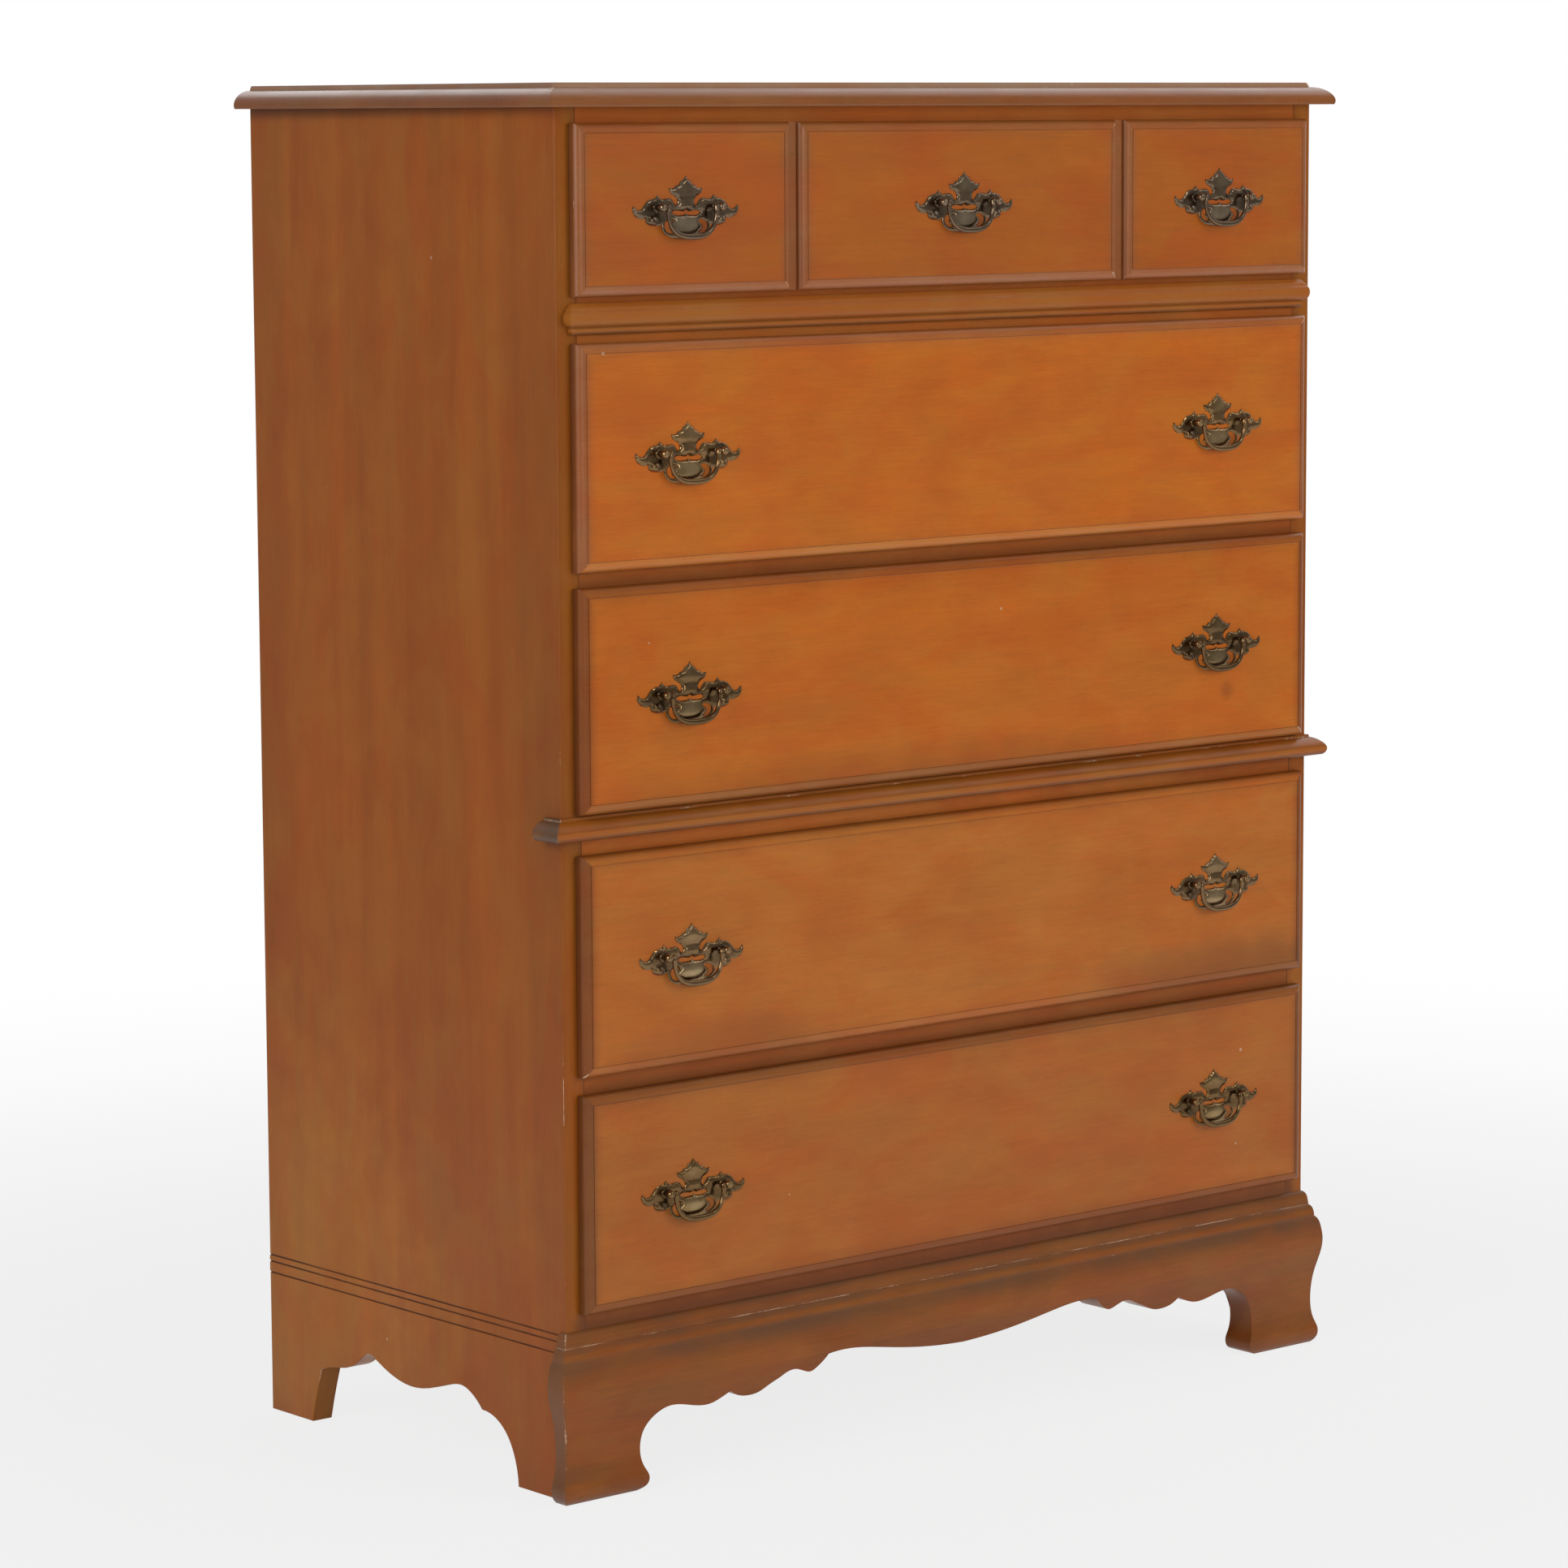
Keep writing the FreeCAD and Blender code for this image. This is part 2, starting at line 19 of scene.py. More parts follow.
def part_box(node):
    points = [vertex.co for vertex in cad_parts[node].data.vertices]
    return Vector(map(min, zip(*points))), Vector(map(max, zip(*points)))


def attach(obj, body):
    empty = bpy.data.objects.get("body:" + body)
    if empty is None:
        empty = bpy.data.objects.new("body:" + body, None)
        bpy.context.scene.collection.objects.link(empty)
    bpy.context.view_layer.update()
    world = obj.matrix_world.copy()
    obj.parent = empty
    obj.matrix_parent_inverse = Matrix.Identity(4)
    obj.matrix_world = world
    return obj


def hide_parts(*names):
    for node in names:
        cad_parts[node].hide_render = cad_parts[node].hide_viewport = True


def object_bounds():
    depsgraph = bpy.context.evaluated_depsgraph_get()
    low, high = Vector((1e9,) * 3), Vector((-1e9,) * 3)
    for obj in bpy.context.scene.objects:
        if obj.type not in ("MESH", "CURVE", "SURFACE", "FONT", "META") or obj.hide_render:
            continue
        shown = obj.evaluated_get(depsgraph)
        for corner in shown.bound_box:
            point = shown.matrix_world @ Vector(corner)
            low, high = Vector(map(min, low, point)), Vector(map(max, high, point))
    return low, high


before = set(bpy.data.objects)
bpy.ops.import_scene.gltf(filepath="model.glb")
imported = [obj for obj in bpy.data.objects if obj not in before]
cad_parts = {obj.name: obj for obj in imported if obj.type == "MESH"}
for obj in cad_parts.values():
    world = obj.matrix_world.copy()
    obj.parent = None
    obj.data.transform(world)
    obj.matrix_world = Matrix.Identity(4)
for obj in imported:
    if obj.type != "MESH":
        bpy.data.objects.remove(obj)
CAD_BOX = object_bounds()
LOG = logging.getLogger("chest")

# Angle in degrees above which an edge of the wood stays crisp.
CRISP = 32.0

Pair = tuple[float, float]
Colour = tuple[float, float, float]
Shares = tuple[tuple[Pair, ...], ...]

# Moulding profiles, from the top down: a share of the projection and a share of the height.
TOP_EDGE_SHARES: Shares = (
    ((-0.12, 1.0), (-0.06, 0.90), (-0.02, 0.79)),
    ((-0.02, 0.79), (0.36, 0.75), (0.70, 0.60), (0.92, 0.39), (1.0, 0.14), (0.95, 0.0)),
)
BASE_PROFILE_SHARES: Shares = (
    ((0.04, 1.0), (0.20, 0.985), (0.30, 0.95), (0.34, 0.912)),
    ((0.34, 0.912), (0.48, 0.898), (0.58, 0.867), (0.61, 0.838)),
    ((0.61, 0.838), (0.78, 0.815), (0.92, 0.765), (1.0, 0.70), (0.93, 0.61), (0.64, 0.48),
     (0.47, 0.34), (0.47, 0.245), (0.63, 0.15), (0.80, 0.095), (0.76, 0.04), (0.48, 0.0)),
)
WAIST_PROFILE_SHARES: Shares = (
    ((0.17, 1.0), (0.20, 0.885)),
    ((0.20, 0.885), (0.49, 0.80), (0.74, 0.66), (0.92, 0.51), (1.0, 0.34), (0.94, 0.13),
     (0.78, 0.0)),
)
BEAD_PROFILE_SHARES: Shares = (
    ((0.34, 1.0), (0.48, 0.94), (0.66, 0.86), (0.78, 0.765)),
    ((0.78, 0.765), (0.92, 0.70), (0.985, 0.62), (1.0, 0.56)),
    ((1.0, 0.56), (0.97, 0.44), (0.86, 0.34), (0.62, 0.27), (0.46, 0.235)),
    ((0.46, 0.235), (0.54, 0.16), (0.48, 0.07), (0.30, 0.0)),
)

# Painted shade in the mouldings' grooves, under their noses and below the rail above, with dirt on the base's
# ledges.
# From the bottom up: a share of the height and how dark it is there.
BASE_DIRT_AND_SHADE_SHARES: tuple[Pair, ...] = (
    (0.0, 0.3), (0.04, 0.0), (0.10, 0.0), (0.13, 0.35), (0.17, 0.5), (0.23, 0.15), (0.30, 0.0),
    (0.69, 0.0), (0.75, 0.35), (0.79, 0.70), (0.825, 0.80), (0.838, 0.55), (0.85, 0.10), (0.87, 0.05),
    (0.885, 0.55), (0.905, 0.65), (0.912, 0.40), (0.92, 0.35), (0.95, 0.20), (0.975, 0.45), (1.0, 0.90),
)
WAIST_SHADE_SHARES: tuple[Pair, ...] = (
    (0.0, 0.5), (0.10, 0.2), (0.18, 0.0), (0.40, 0.0), (0.48, 0.15), (0.56, 0.0), (1.0, 0.0),
)
BEAD_SHADE_SHARES: tuple[Pair, ...] = (
    (0.0, 0.4), (0.12, 0.0), (0.2, 0.1), (0.235, 0.45), (0.30, 0.1), (0.42, 0.0), (1.0, 0.0),
)

# Lower edge of the base from the left foot to the middle: shares of half the case width, measured
# from the case side, and of the base height.
BASE_EDGE_SHARES: Shares = (
    ((0.143, -0.02), (0.156, 0.0), (0.174, 0.027), (0.179, 0.082), (0.172, 0.13), (0.166, 0.19),
     (0.166, 0.27), (0.174, 0.35), (0.198, 0.425), (0.235, 0.468), (0.266, 0.461), (0.313, 0.43),
     (0.343, 0.43), (0.366, 0.452), (0.388, 0.482)),
    ((0.388, 0.482), (0.408, 0.445), (0.435, 0.43), (0.462, 0.438), (0.488, 0.472), (0.514, 0.505),
     (0.534, 0.532), (0.553, 0.535), (0.573, 0.515), (0.593, 0.50), (0.610, 0.525), (0.634, 0.592)),
    ((0.634, 0.592), (0.676, 0.60), (0.762, 0.57), (0.866, 0.518), (1.0, 0.486)),
)

# Right half of a pull's plate from the finial down, and its piercings: shares of the plate's half
# width and of its rise above the posts.
PLATE_EDGE_SHARES: Shares = (
    ((0.0, 1.0), (0.045, 0.88), (0.10, 0.83)),
    ((0.10, 0.83), (0.13, 0.72), (0.18, 0.70)),
    ((0.18, 0.70), (0.23, 0.61), (0.316, 0.615)),
    ((0.316, 0.615), (0.28, 0.44), (0.19, 0.33), (0.155, 0.20), (0.192, 0.04)),
    ((0.192, 0.04), (0.228, 0.15), (0.28, 0.27), (0.35, 0.285), (0.447, 0.255)),
    ((0.447, 0.255), (0.495, 0.31), (0.533, 0.40)),
    ((0.533, 0.40), (0.57, 0.31), (0.63, 0.27), (0.716, 0.215), (0.795, 0.04), (0.86, -0.07),
     (0.92, -0.055), (0.982, 0.058)),
    ((0.982, 0.058), (1.0, -0.06), (0.965, -0.23), (0.89, -0.33), (0.80, -0.355), (0.745, -0.325)),
    ((0.745, -0.325), (0.755, -0.44), (0.684, -0.555), (0.609, -0.585), (0.526, -0.575),
     (0.455, -0.53)),
    ((0.455, -0.53), (0.445, -0.72), (0.36, -0.89), (0.21, -0.98), (0.0, -1.0)),
)
KIDNEY_SHARES: Shares = (
    ((0.0, -0.065), (0.03, -0.115), (0.08, -0.13)),
    ((0.08, -0.13), (0.16, -0.10), (0.235, -0.12), (0.262, -0.175), (0.22, -0.235), (0.12, -0.25),
     (0.05, -0.24)),
    ((0.05, -0.24), (0.02, -0.225), (0.0, -0.185)),
)
CRESCENT_SHARES: Shares = (
    ((0.235, -0.43), (0.33, -0.40), (0.405, -0.52), (0.395, -0.70), (0.31, -0.83), (0.225, -0.80)),
    ((0.225, -0.80), (0.29, -0.73), (0.315, -0.62), (0.28, -0.52), (0.235, -0.43)),
)


class Paint(str, Enum):
    """Values painted on the vertices for the finishes to read."""

    MOULDED = "moulded"
    WEAR = "wear"
    SHADE = "shade"
    # Painted light from the floor on drawer sills and moulding noses, and pale wear on the top's fillet.
    BUFFED = "buffed"
    RELIEF = "relief"


class Grain(Enum):
    """Direction that the grain runs in, as the turn that brings it onto X."""

    ACROSS = (0.0, 0.0, 0.0)
    DEEP = (0.0, 0.0, math.pi / 2)
    UPRIGHT = (0.0, math.pi / 2, 0.0)

    @property
    def face(self) -> tuple[float, float, float]:
        """1 along the board's face and 0 through its thickness, after the turn."""
        return (1.0, 1.0, 0.0) if self is Grain.UPRIGHT else (1.0, 0.0, 1.0)


def smooth_run(points: Sequence[Pair], steps: int) -> list[Pair]:
    """Samples a smooth curve through the given points.

    Args:
        points: Two points for a straight run, or more for a curve with even curvature.
        steps: Samples in each gap between points.

    Returns:
        The samples, from the first point to the last.
    """
    if len(points) == 2:
        return list(points)
    knots = np.asarray(points, float)
    gaps = np.linalg.norm(np.diff(knots, axis=0), axis=1)
    rates = np.diff(knots, axis=0) / gaps[:, None]
    count = len(knots)
    system = np.zeros((count, count))
    known = np.zeros((count, 2))
    system[0, 0] = system[-1, -1] = 1.0
    known[0] = rates[0] + (rates[0] - rates[1]) * gaps[0] / (gaps[0] + gaps[1])
    known[-1] = rates[-1] + (rates[-1] - rates[-2]) * gaps[-1] / (gaps[-1] + gaps[-2])
    for i in range(1, count - 1):
        system[i, i - 1] = gaps[i]
        system[i, i] = 2 * (gaps[i - 1] + gaps[i])
        system[i, i + 1] = gaps[i - 1]
        known[i] = 3 * (gaps[i] * rates[i - 1] + gaps[i - 1] * rates[i])
    slopes = np.linalg.solve(system, known)
    samples = [tuple(knots[0])]
    for i in range(count - 1):
        for step in range(1, steps + 1):
            t = step / steps
            ends = knots[i] * (1 + 2 * t) * (1 - t) ** 2 + knots[i + 1] * t * t * (3 - 2 * t)
            pull = slopes[i] * t * (1 - t) ** 2 - slopes[i + 1] * t * t * (1 - t)
            samples.append(tuple(ends + pull * gaps[i]))
    return samples


def outline_run(shares: Shares, scale: Pair, steps: int) -> list[tuple[float, float, bool]]:
    """Samples a whole outline made of several curves.

    Args:
        shares: Stretches of the outline, head to tail.
        scale: Sizes that the two shares are of.
        steps: Samples in each gap between points.

    Returns:
        The two sizes of each sample, and whether it is a corner between two stretches.
    """
    samples: list[tuple[float, float, bool]] = []
    for stretch in shares:
        run = smooth_run([(a * scale[0], b * scale[1]) for a, b in stretch], steps)
        if samples:
            samples[-1] = (*samples[-1][:2], True)
        samples += [(a, b, False) for a, b in run[1 if samples else 0:]]
    return samples


@dataclass
class Draft:
    """Mesh that is being put together, with painted values on its vertices."""

    name: str
    points: list[tuple[float, float, float]] = field(default_factory=list)
    faces: list[tuple[int, ...]] = field(default_factory=list)
    paint: dict[Paint, list[float]] = field(default_factory=lambda: {kind: [] for kind in Paint})

    def point(self, x: float, y: float, z: float, **paint: float) -> int:
        """Adds a vertex.

        Args:
            x: Place to the right.
            y: Place to the back.
            z: Height.
            paint: Painted values by name, zero where not given.

        Returns:
            The vertex's number.
        """
        self.points.append((x, y, z))
        for kind in Paint:
            self.paint[kind].append(paint.get(kind.value, 0.0))
        return len(self.points) - 1

    def bridge(self, first: Sequence[int], second: Sequence[int], closed: bool = False) -> None:
        """Joins two rows of vertices with quads.

        Args:
            first: One row.
            second: The row beside it, as long as the first.
            closed: Whether the rows are rings.
        """
        count = len(first)
        for i in range(count if closed else count - 1):
            j = (i + 1) % count
            self.faces.append((first[i], first[j], second[j], second[i]))

    def skin(self, lines: Sequence[Sequence[int]], closed: bool = False) -> None:
        """Joins each row of vertices to the next.

        Args:
            lines: Rows of one length, in order.
            closed: Whether the rows are rings.
        """
        for first, second in zip(lines, lines[1:]):
            self.bridge(first, second, closed)

    def cap(self, ring: Sequence[int]) -> None:
        """Fills a ring of vertices with one face."""
        self.faces.append(tuple(ring))

    def prism(self, outline: Sequence[Pair], ends: Pair, moulded: float) -> None:
        """Adds a closed block with one outline from end to end.

        Args:
            outline: X and height of each corner.
            ends: Y of both ends.
            moulded: How far the block takes the tone of the mouldings.
        """
        rings = [[self.point(x, y, z, moulded=moulded) for x, z in outline] for y in ends]
        self.skin(rings, closed=True)
        for ring in rings:
            self.cap(ring)

    def circle(self, radius: float, y: float, count: int, relief: float) -> list[int]:
        """Adds a ring of vertices about the Y axis.

        Args:
            radius: The ring's radius.
            y: Place to the back.
            count: How many vertices.
            relief: How far the ring stands proud, for its polish.

        Returns:
            The ring's vertices.
        """
        turns = [2 * math.pi * i / count for i in range(count)]
        return [
            self.point(radius * math.cos(turn), y, radius * math.sin(turn), relief=relief) for turn in turns
        ]

    def mesh(self) -> bpy.types.Mesh:
        """Turns the draft into a mesh with outward faces and painted values.

        Returns:
            The mesh.
        """
        mesh = bpy.data.meshes.new(self.name)
        mesh.from_pydata(self.points, [], self.faces)
        for kind, values in self.paint.items():
            mesh.attributes.new(kind.value, "FLOAT", "POINT").data.foreach_set("value", values)
        face_outwards(mesh)
        return mesh

    def piece(self, finish: bpy.types.Material, sharp: float = CRISP) -> bpy.types.Object:
        """Puts the finished mesh into the scene.

        Args:
            finish: Material of the whole piece.
            sharp: Angle in degrees above which an edge stays crisp.

        Returns:
            The piece.
        """
        return shown(self.name, self.mesh(), finish, sharp)


def face_outwards(mesh: bpy.types.Mesh) -> None:
    """Turns every closed shell of a mesh the right way out.

    Args:
        mesh: The mesh.
    """
    shell = bmesh.new()
    shell.from_mesh(mesh)
    bmesh.ops.recalc_face_normals(shell, faces=shell.faces)
    shell.to_mesh(mesh)
    shell.free()


def rectangle(half: float, low: float, high: float) -> list[Pair]:
    """Corners of an upright rectangle about X = 0."""
    return [(-half, low), (half, low), (half, high), (-half, high)]


def shown(name: str, mesh: bpy.types.Mesh, finish: bpy.types.Material, sharp: float) -> bpy.types.Object:
    """Makes an object of a mesh, shaded smooth up to an angle.

    Args:
        name: The piece's name.
        mesh: Its mesh, with its place in it.
        finish: Material of the whole piece.
        sharp: Angle in degrees above which an edge stays crisp.

    Returns:
        The piece.
    """
    mesh.name = name
    mesh.shade_smooth()
    mesh.set_sharp_from_angle(angle=math.radians(sharp))
    mesh.materials.clear()
    mesh.materials.append(finish)
    piece = bpy.data.objects.new(name, mesh)
    bpy.context.scene.collection.objects.link(piece)
    return piece


def settled(piece: bpy.types.Object) -> bpy.types.Mesh:
    """Makes a plain mesh of an object with its modifiers, then removes the object.

    Args:
        piece: Object to settle.

    Returns:
        The finished mesh.
    """
    bpy.context.view_layer.update()
    depsgraph = bpy.context.evaluated_depsgraph_get()
    mesh = bpy.data.meshes.new_from_object(piece.evaluated_get(depsgraph), depsgraph=depsgraph)
    bpy.data.objects.remove(piece)
    return mesh


def placed(piece: bpy.types.Object, body: str, slot: str, *nodes: str) -> None:
    """Parents a finished piece to its body and hides the nodes that it stands for.

    Args:
        piece: The piece.
        body: Body that it moves with.
        slot: Material slot that it would take its finish from; not used.
        nodes: Nodes that it stands for.
    """
    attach(piece, body)
    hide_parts(*nodes)
    LOG.info("%s rides on %s, %d faces", piece.name, body, len(piece.data.polygons))


class NodeKit:
    """Short way to add and link nodes in one tree."""

    def __init__(self, tree: bpy.types.NodeTree) -> None:
        """Keeps the tree that nodes are added to."""
        self.tree = tree

    def feed(self, socket: bpy.types.NodeSocket, value: object) -> None:
        """Links a socket to another one, or sets its value.

        Args:
            socket: Input to feed.
            value: Output socket, number, vector or colour.
        """
        if isinstance(value, bpy.types.NodeSocket):
            self.tree.links.new(value, socket)
        elif isinstance(value, tuple) and len(value) == 3 and socket.type == "RGBA":
            socket.default_value = (*value, 1.0)
        else:
            socket.default_value = value

    def add(self, kind: str, inputs: dict[str, object] | None = None, **settings: object) -> bpy.types.Node:
        """Adds a node.

        Args:
            kind: Node type.
            inputs: Values or sockets for its inputs, by name.
            settings: Properties of the node.

        Returns:
            The node.
        """
        node = self.tree.nodes.new(kind)
        for name, value in settings.items():
            setattr(node, name, value)
        for name, value in (inputs or {}).items():
            self.feed(node.inputs[name], value)
        return node

    def maths(self, operation: str, *values: object, clamp: bool = False) -> bpy.types.NodeSocket:
        """Result of a sum on numbers or sockets.

        Args:
            operation: Kind of sum.
            values: Numbers or sockets that it works on.
            clamp: Whether the result is held between 0 and 1.

        Returns:
            The value's socket.
        """
        node = self.add("ShaderNodeMath", operation=operation, use_clamp=clamp)
        for socket, value in zip(node.inputs, values):
            self.feed(socket, value)
        return node.outputs[0]

    def swayed(self, noise: object, amount: object, about: object, clamp: bool = False
               ) -> bpy.types.NodeSocket:
        """Value moved up and down by a noise.

        Args:
            noise: Noise around 0.5.
            amount: How far the noise moves the value.
            about: The value.
            clamp: Whether the result is held between 0 and 1.

        Returns:
            The value's socket.
        """
        return self.maths("MULTIPLY_ADD", self.maths("SUBTRACT", noise, 0.5), amount, about, clamp=clamp)

    def mix(self, share: object, first: object, second: object, blend: str = "MIX") -> bpy.types.NodeSocket:
        """Colour between two colours.

        Args:
            share: How much of the second colour shows.
            first: Colour at 0.
            second: Colour at 1.
            blend: How the second is laid on the first.

        Returns:
            The colour's socket.
        """
        node = self.add("ShaderNodeMix", data_type="RGBA", blend_type=blend)
        named = {socket.identifier: socket for socket in node.inputs}
        self.feed(named["Factor_Float"], share)
        self.feed(named["A_Color"], first)
        self.feed(named["B_Color"], second)
        return next(socket for socket in node.outputs if socket.identifier == "Result_Color")

    def stretch(self, vector: object, scale: tuple[float, float, float]) -> bpy.types.NodeSocket:
        """Vector scaled along each axis.

        Args:
            vector: The vector.
            scale: Scale along X, Y and Z.

        Returns:
            The vector's socket.
        """
        node = self.add("ShaderNodeVectorMath", operation="MULTIPLY")
        self.feed(node.inputs[0], vector)
        self.feed(node.inputs[1], scale)
        return node.outputs[0]

    def noise(self, vector: object, scale: float, detail: float, rough: float = 0.55,
              swirl: float = 0.0) -> bpy.types.NodeSocket:
        """Soft noise around 0.5.

        Args:
            vector: Place on the surface.
            scale: Spots in a metre of the vector.
            detail: Octaves.
            rough: Weight of the finer octaves.
            swirl: Distortion.

        Returns:
            The value's socket.
        """
        inputs = {"Vector": vector, "Scale": scale, "Detail": detail, "Roughness": rough}
        return self.add("ShaderNodeTexNoise", {**inputs, "Distortion": swirl}).outputs["Fac"]

    def ramp(self, value: object, low: float, high: float, bottom: float = 0.0,
             top: float = 1.0) -> bpy.types.NodeSocket:
        """Value eased from one range to another and held at its ends."""
        inputs = {"Value": value, "From Min": low, "From Max": high, "To Min": bottom, "To Max": top}
        return self.add("ShaderNodeMapRange", inputs, interpolation_type="SMOOTHSTEP").outputs[0]

    def painted(self, kind: Paint) -> bpy.types.NodeSocket:
        """Value painted on the vertices."""
        return self.add("ShaderNodeAttribute", attribute_name=kind.value).outputs["Fac"]

    def here(self) -> bpy.types.NodeSocket:
        """Place on the piece, in the part's own frame."""
        return self.add("ShaderNodeTexCoord").outputs["Object"]

    def place(self, grain: Grain) -> bpy.types.NodeSocket:
        """Place on the piece, turned so that the grain runs along X."""
        return self.add("ShaderNodeMapping", {"Vector": self.here(), "Rotation": grain.value}).outputs[0]

    def roughen(self, shader: bpy.types.Node, height: object, strength: float, distance: float) -> None:
        """Gives a shader's surface a fine relief.

        Args:
            shader: The shader.
            height: Height over the surface.
            strength: How much of the relief shows.
            distance: Metres that a height of 1 stands for.
        """
        bump = self.add("ShaderNodeBump", {"Height": height, "Strength": strength, "Distance": distance})
        self.feed(shader.inputs["Normal"], bump.outputs["Normal"])

    def group(self, tree: bpy.types.NodeTree, inputs: dict[str, object]) -> bpy.types.Node:
        """Places a shared effect in this material.

        Args:
            tree: The effect.
            inputs: Values or sockets for its inputs, by name.

        Returns:
            The group's node.
        """
        node = self.add("ShaderNodeGroup", node_tree=tree)
        for name, value in inputs.items():
            self.feed(node.inputs[name], value)
        return node


class Effects:
    """Shared effects, each a shader group that is built once."""

    # Patches in a metre: along the grain, then across it both ways.
    BAND = (0.9, 21.0, 21.0)
    STREAK = (26.0, 520.0, 520.0)
    CLOUD = (13.0, 26.0, 26.0)
    WARMTH = (8.0, 19.0, 19.0)
    FLECK = (170.0, 2300.0, 2300.0)
    DENT = (20.0, 22.0, 22.0)

    def __init__(self) -> None:
        """Builds the groups."""
        self.figure = self.wood_figure()
        self.wear = self.edge_wear()
        self.marks = self.nicks()

    def start(self, name: str, values: dict[str, float], results: Sequence[str]
              ) -> tuple[bpy.types.NodeTree, NodeKit, bpy.types.Node, bpy.types.Node]:
        """Opens a group with a Vector input and plain values.

        Args:
            name: The group's name.
            values: Its number inputs and their defaults.
            results: Its outputs.

        Returns:
            The group, its kit, and its input and output nodes.
        """
        tree = bpy.data.node_groups.new(name, "ShaderNodeTree")
        tree.interface.new_socket("Vector", in_out="INPUT", socket_type="NodeSocketVector")
        for label, value in values.items():
            socket = tree.interface.new_socket(label, in_out="INPUT", socket_type="NodeSocketFloat")
            socket.default_value = value
        for label in results:
            tree.interface.new_socket(label, in_out="OUTPUT", socket_type="NodeSocketFloat")
        kit = NodeKit(tree)
        return tree, kit, kit.add("NodeGroupInput"), kit.add("NodeGroupOutput")

    def wood_figure(self) -> bpy.types.NodeTree:
        """Grain of a close-grained wood under stain: broad bands, fine streaks, clouds and short flecks.

        Returns:
            The group.
        """
        values = {"Band": 1.0, "Streak": 1.0, "Cloud": 1.0, "Fleck": 1.0}
        tree, kit, given, result = self.start("wood figure", values, ("Tone", "Warmth", "Fleck", "Height"))
        vector = given.outputs["Vector"]
        band = kit.noise(kit.stretch(vector, self.BAND), 1.0, 3.0, 0.5, 0.7)
        streak = kit.noise(kit.stretch(vector, self.STREAK), 1.0, 3.0, 0.62, 0.3)
        cloud = kit.noise(kit.stretch(vector, self.CLOUD), 1.0, 4.0, 0.55, 0.4)
        warmth = kit.noise(kit.stretch(vector, self.WARMTH), 1.0, 4.0, 0.6, 0.8)
        fleck = kit.noise(kit.stretch(vector, self.FLECK), 1.0, 1.0)
        tone: object = 0.5
        for source, label in ((band, "Band"), (streak, "Streak"), (cloud, "Cloud")):
            tone = kit.swayed(source, given.outputs[label], tone)
        dark = kit.maths("MULTIPLY", kit.ramp(fleck, 0.60, 0.74), given.outputs["Fleck"])
        kit.feed(result.inputs["Tone"], kit.maths("ADD", tone, 0.0, clamp=True))
        kit.feed(result.inputs["Warmth"], kit.ramp(warmth, 0.34, 0.66))
        kit.feed(result.inputs["Fleck"], dark)
        kit.feed(result.inputs["Height"], kit.maths("MULTIPLY_ADD", dark, -0.8, streak))
        return tree

    def edge_wear(self) -> bpy.types.NodeTree:
        """Finish rubbed through where a painted value is high, broken up into patches.

        Returns:
            The group.
        """
        tree, kit, given, result = self.start("edge wear", {"Amount": 0.0, "Reach": 0.5}, ("Mask",))
        vector = given.outputs["Vector"]
        patch = kit.noise(vector, 34.0, 3.0, 0.6)
        chip = kit.noise(vector, 420.0, 3.0, 0.6)
        level = kit.swayed(chip, 0.9, kit.swayed(patch, 2.4, given.outputs["Amount"]))
        level = kit.maths("SUBTRACT", level, kit.maths("SUBTRACT", 1.25, given.outputs["Reach"]))
        present = kit.ramp(given.outputs["Amount"], 0.05, 0.35)
        kit.feed(result.inputs["Mask"], kit.maths("MULTIPLY", kit.ramp(level, 0.0, 0.22), present))
        return tree

    def nicks(self) -> bpy.types.NodeTree:
        """Small pale dents scattered over a surface.

        Returns:
            The group.
        """
        tree, kit, given, result = self.start("nicks", {"Amount": 1.0}, ("Mask",))
        vector = given.outputs["Vector"]
        spread = kit.stretch(vector, self.DENT)
        cells = kit.add("ShaderNodeTexVoronoi", {"Vector": spread, "Scale": 1.0, "Randomness": 1.0})
        tint = kit.add("ShaderNodeSeparateColor", {"Color": cells.outputs["Color"]})
        size = kit.ramp(tint.outputs["Red"], 0.64, 1.0, 0.0, 0.046)
        dent = kit.ramp(kit.maths("SUBTRACT", size, cells.outputs["Distance"]), 0.0, 0.015)
        kit.feed(result.inputs["Mask"], kit.maths("MULTIPLY", dent, given.outputs["Amount"]))
        return tree


@dataclass(frozen=True)
class Spot:
    """Soft patch on a piece: its middle and reach along and up the face, and how strong it is."""

    along: float
    up: float
    wide: float
    tall: float
    strength: float
    on_side: bool = False

    def mask(self, kit: NodeKit) -> bpy.types.NodeSocket:
        """Strength of the patch over the piece.

        Args:
            kit: The material's kit.

        Returns:
            The value's socket.
        """
        place = kit.here()
        middle = (self.along, 0.0, self.up)
        scale = (1 / self.wide, 0.0, 1 / self.tall)
        if self.on_side:
            middle = (0.0, self.along, self.up)
            scale = (0.0, 1 / self.wide, 1 / self.tall)
        offset = kit.add("ShaderNodeVectorMath", operation="SUBTRACT")
        kit.feed(offset.inputs[0], place)
        kit.feed(offset.inputs[1], middle)
        reach = kit.add("ShaderNodeVectorMath", operation="LENGTH")
        kit.feed(reach.inputs[0], kit.stretch(offset.outputs[0], scale))
        ragged = kit.swayed(kit.noise(place, 30.0, 4.0), 0.5, reach.outputs["Value"])
        return kit.ramp(ragged, 0.25, 1.0, self.strength, 0.0)


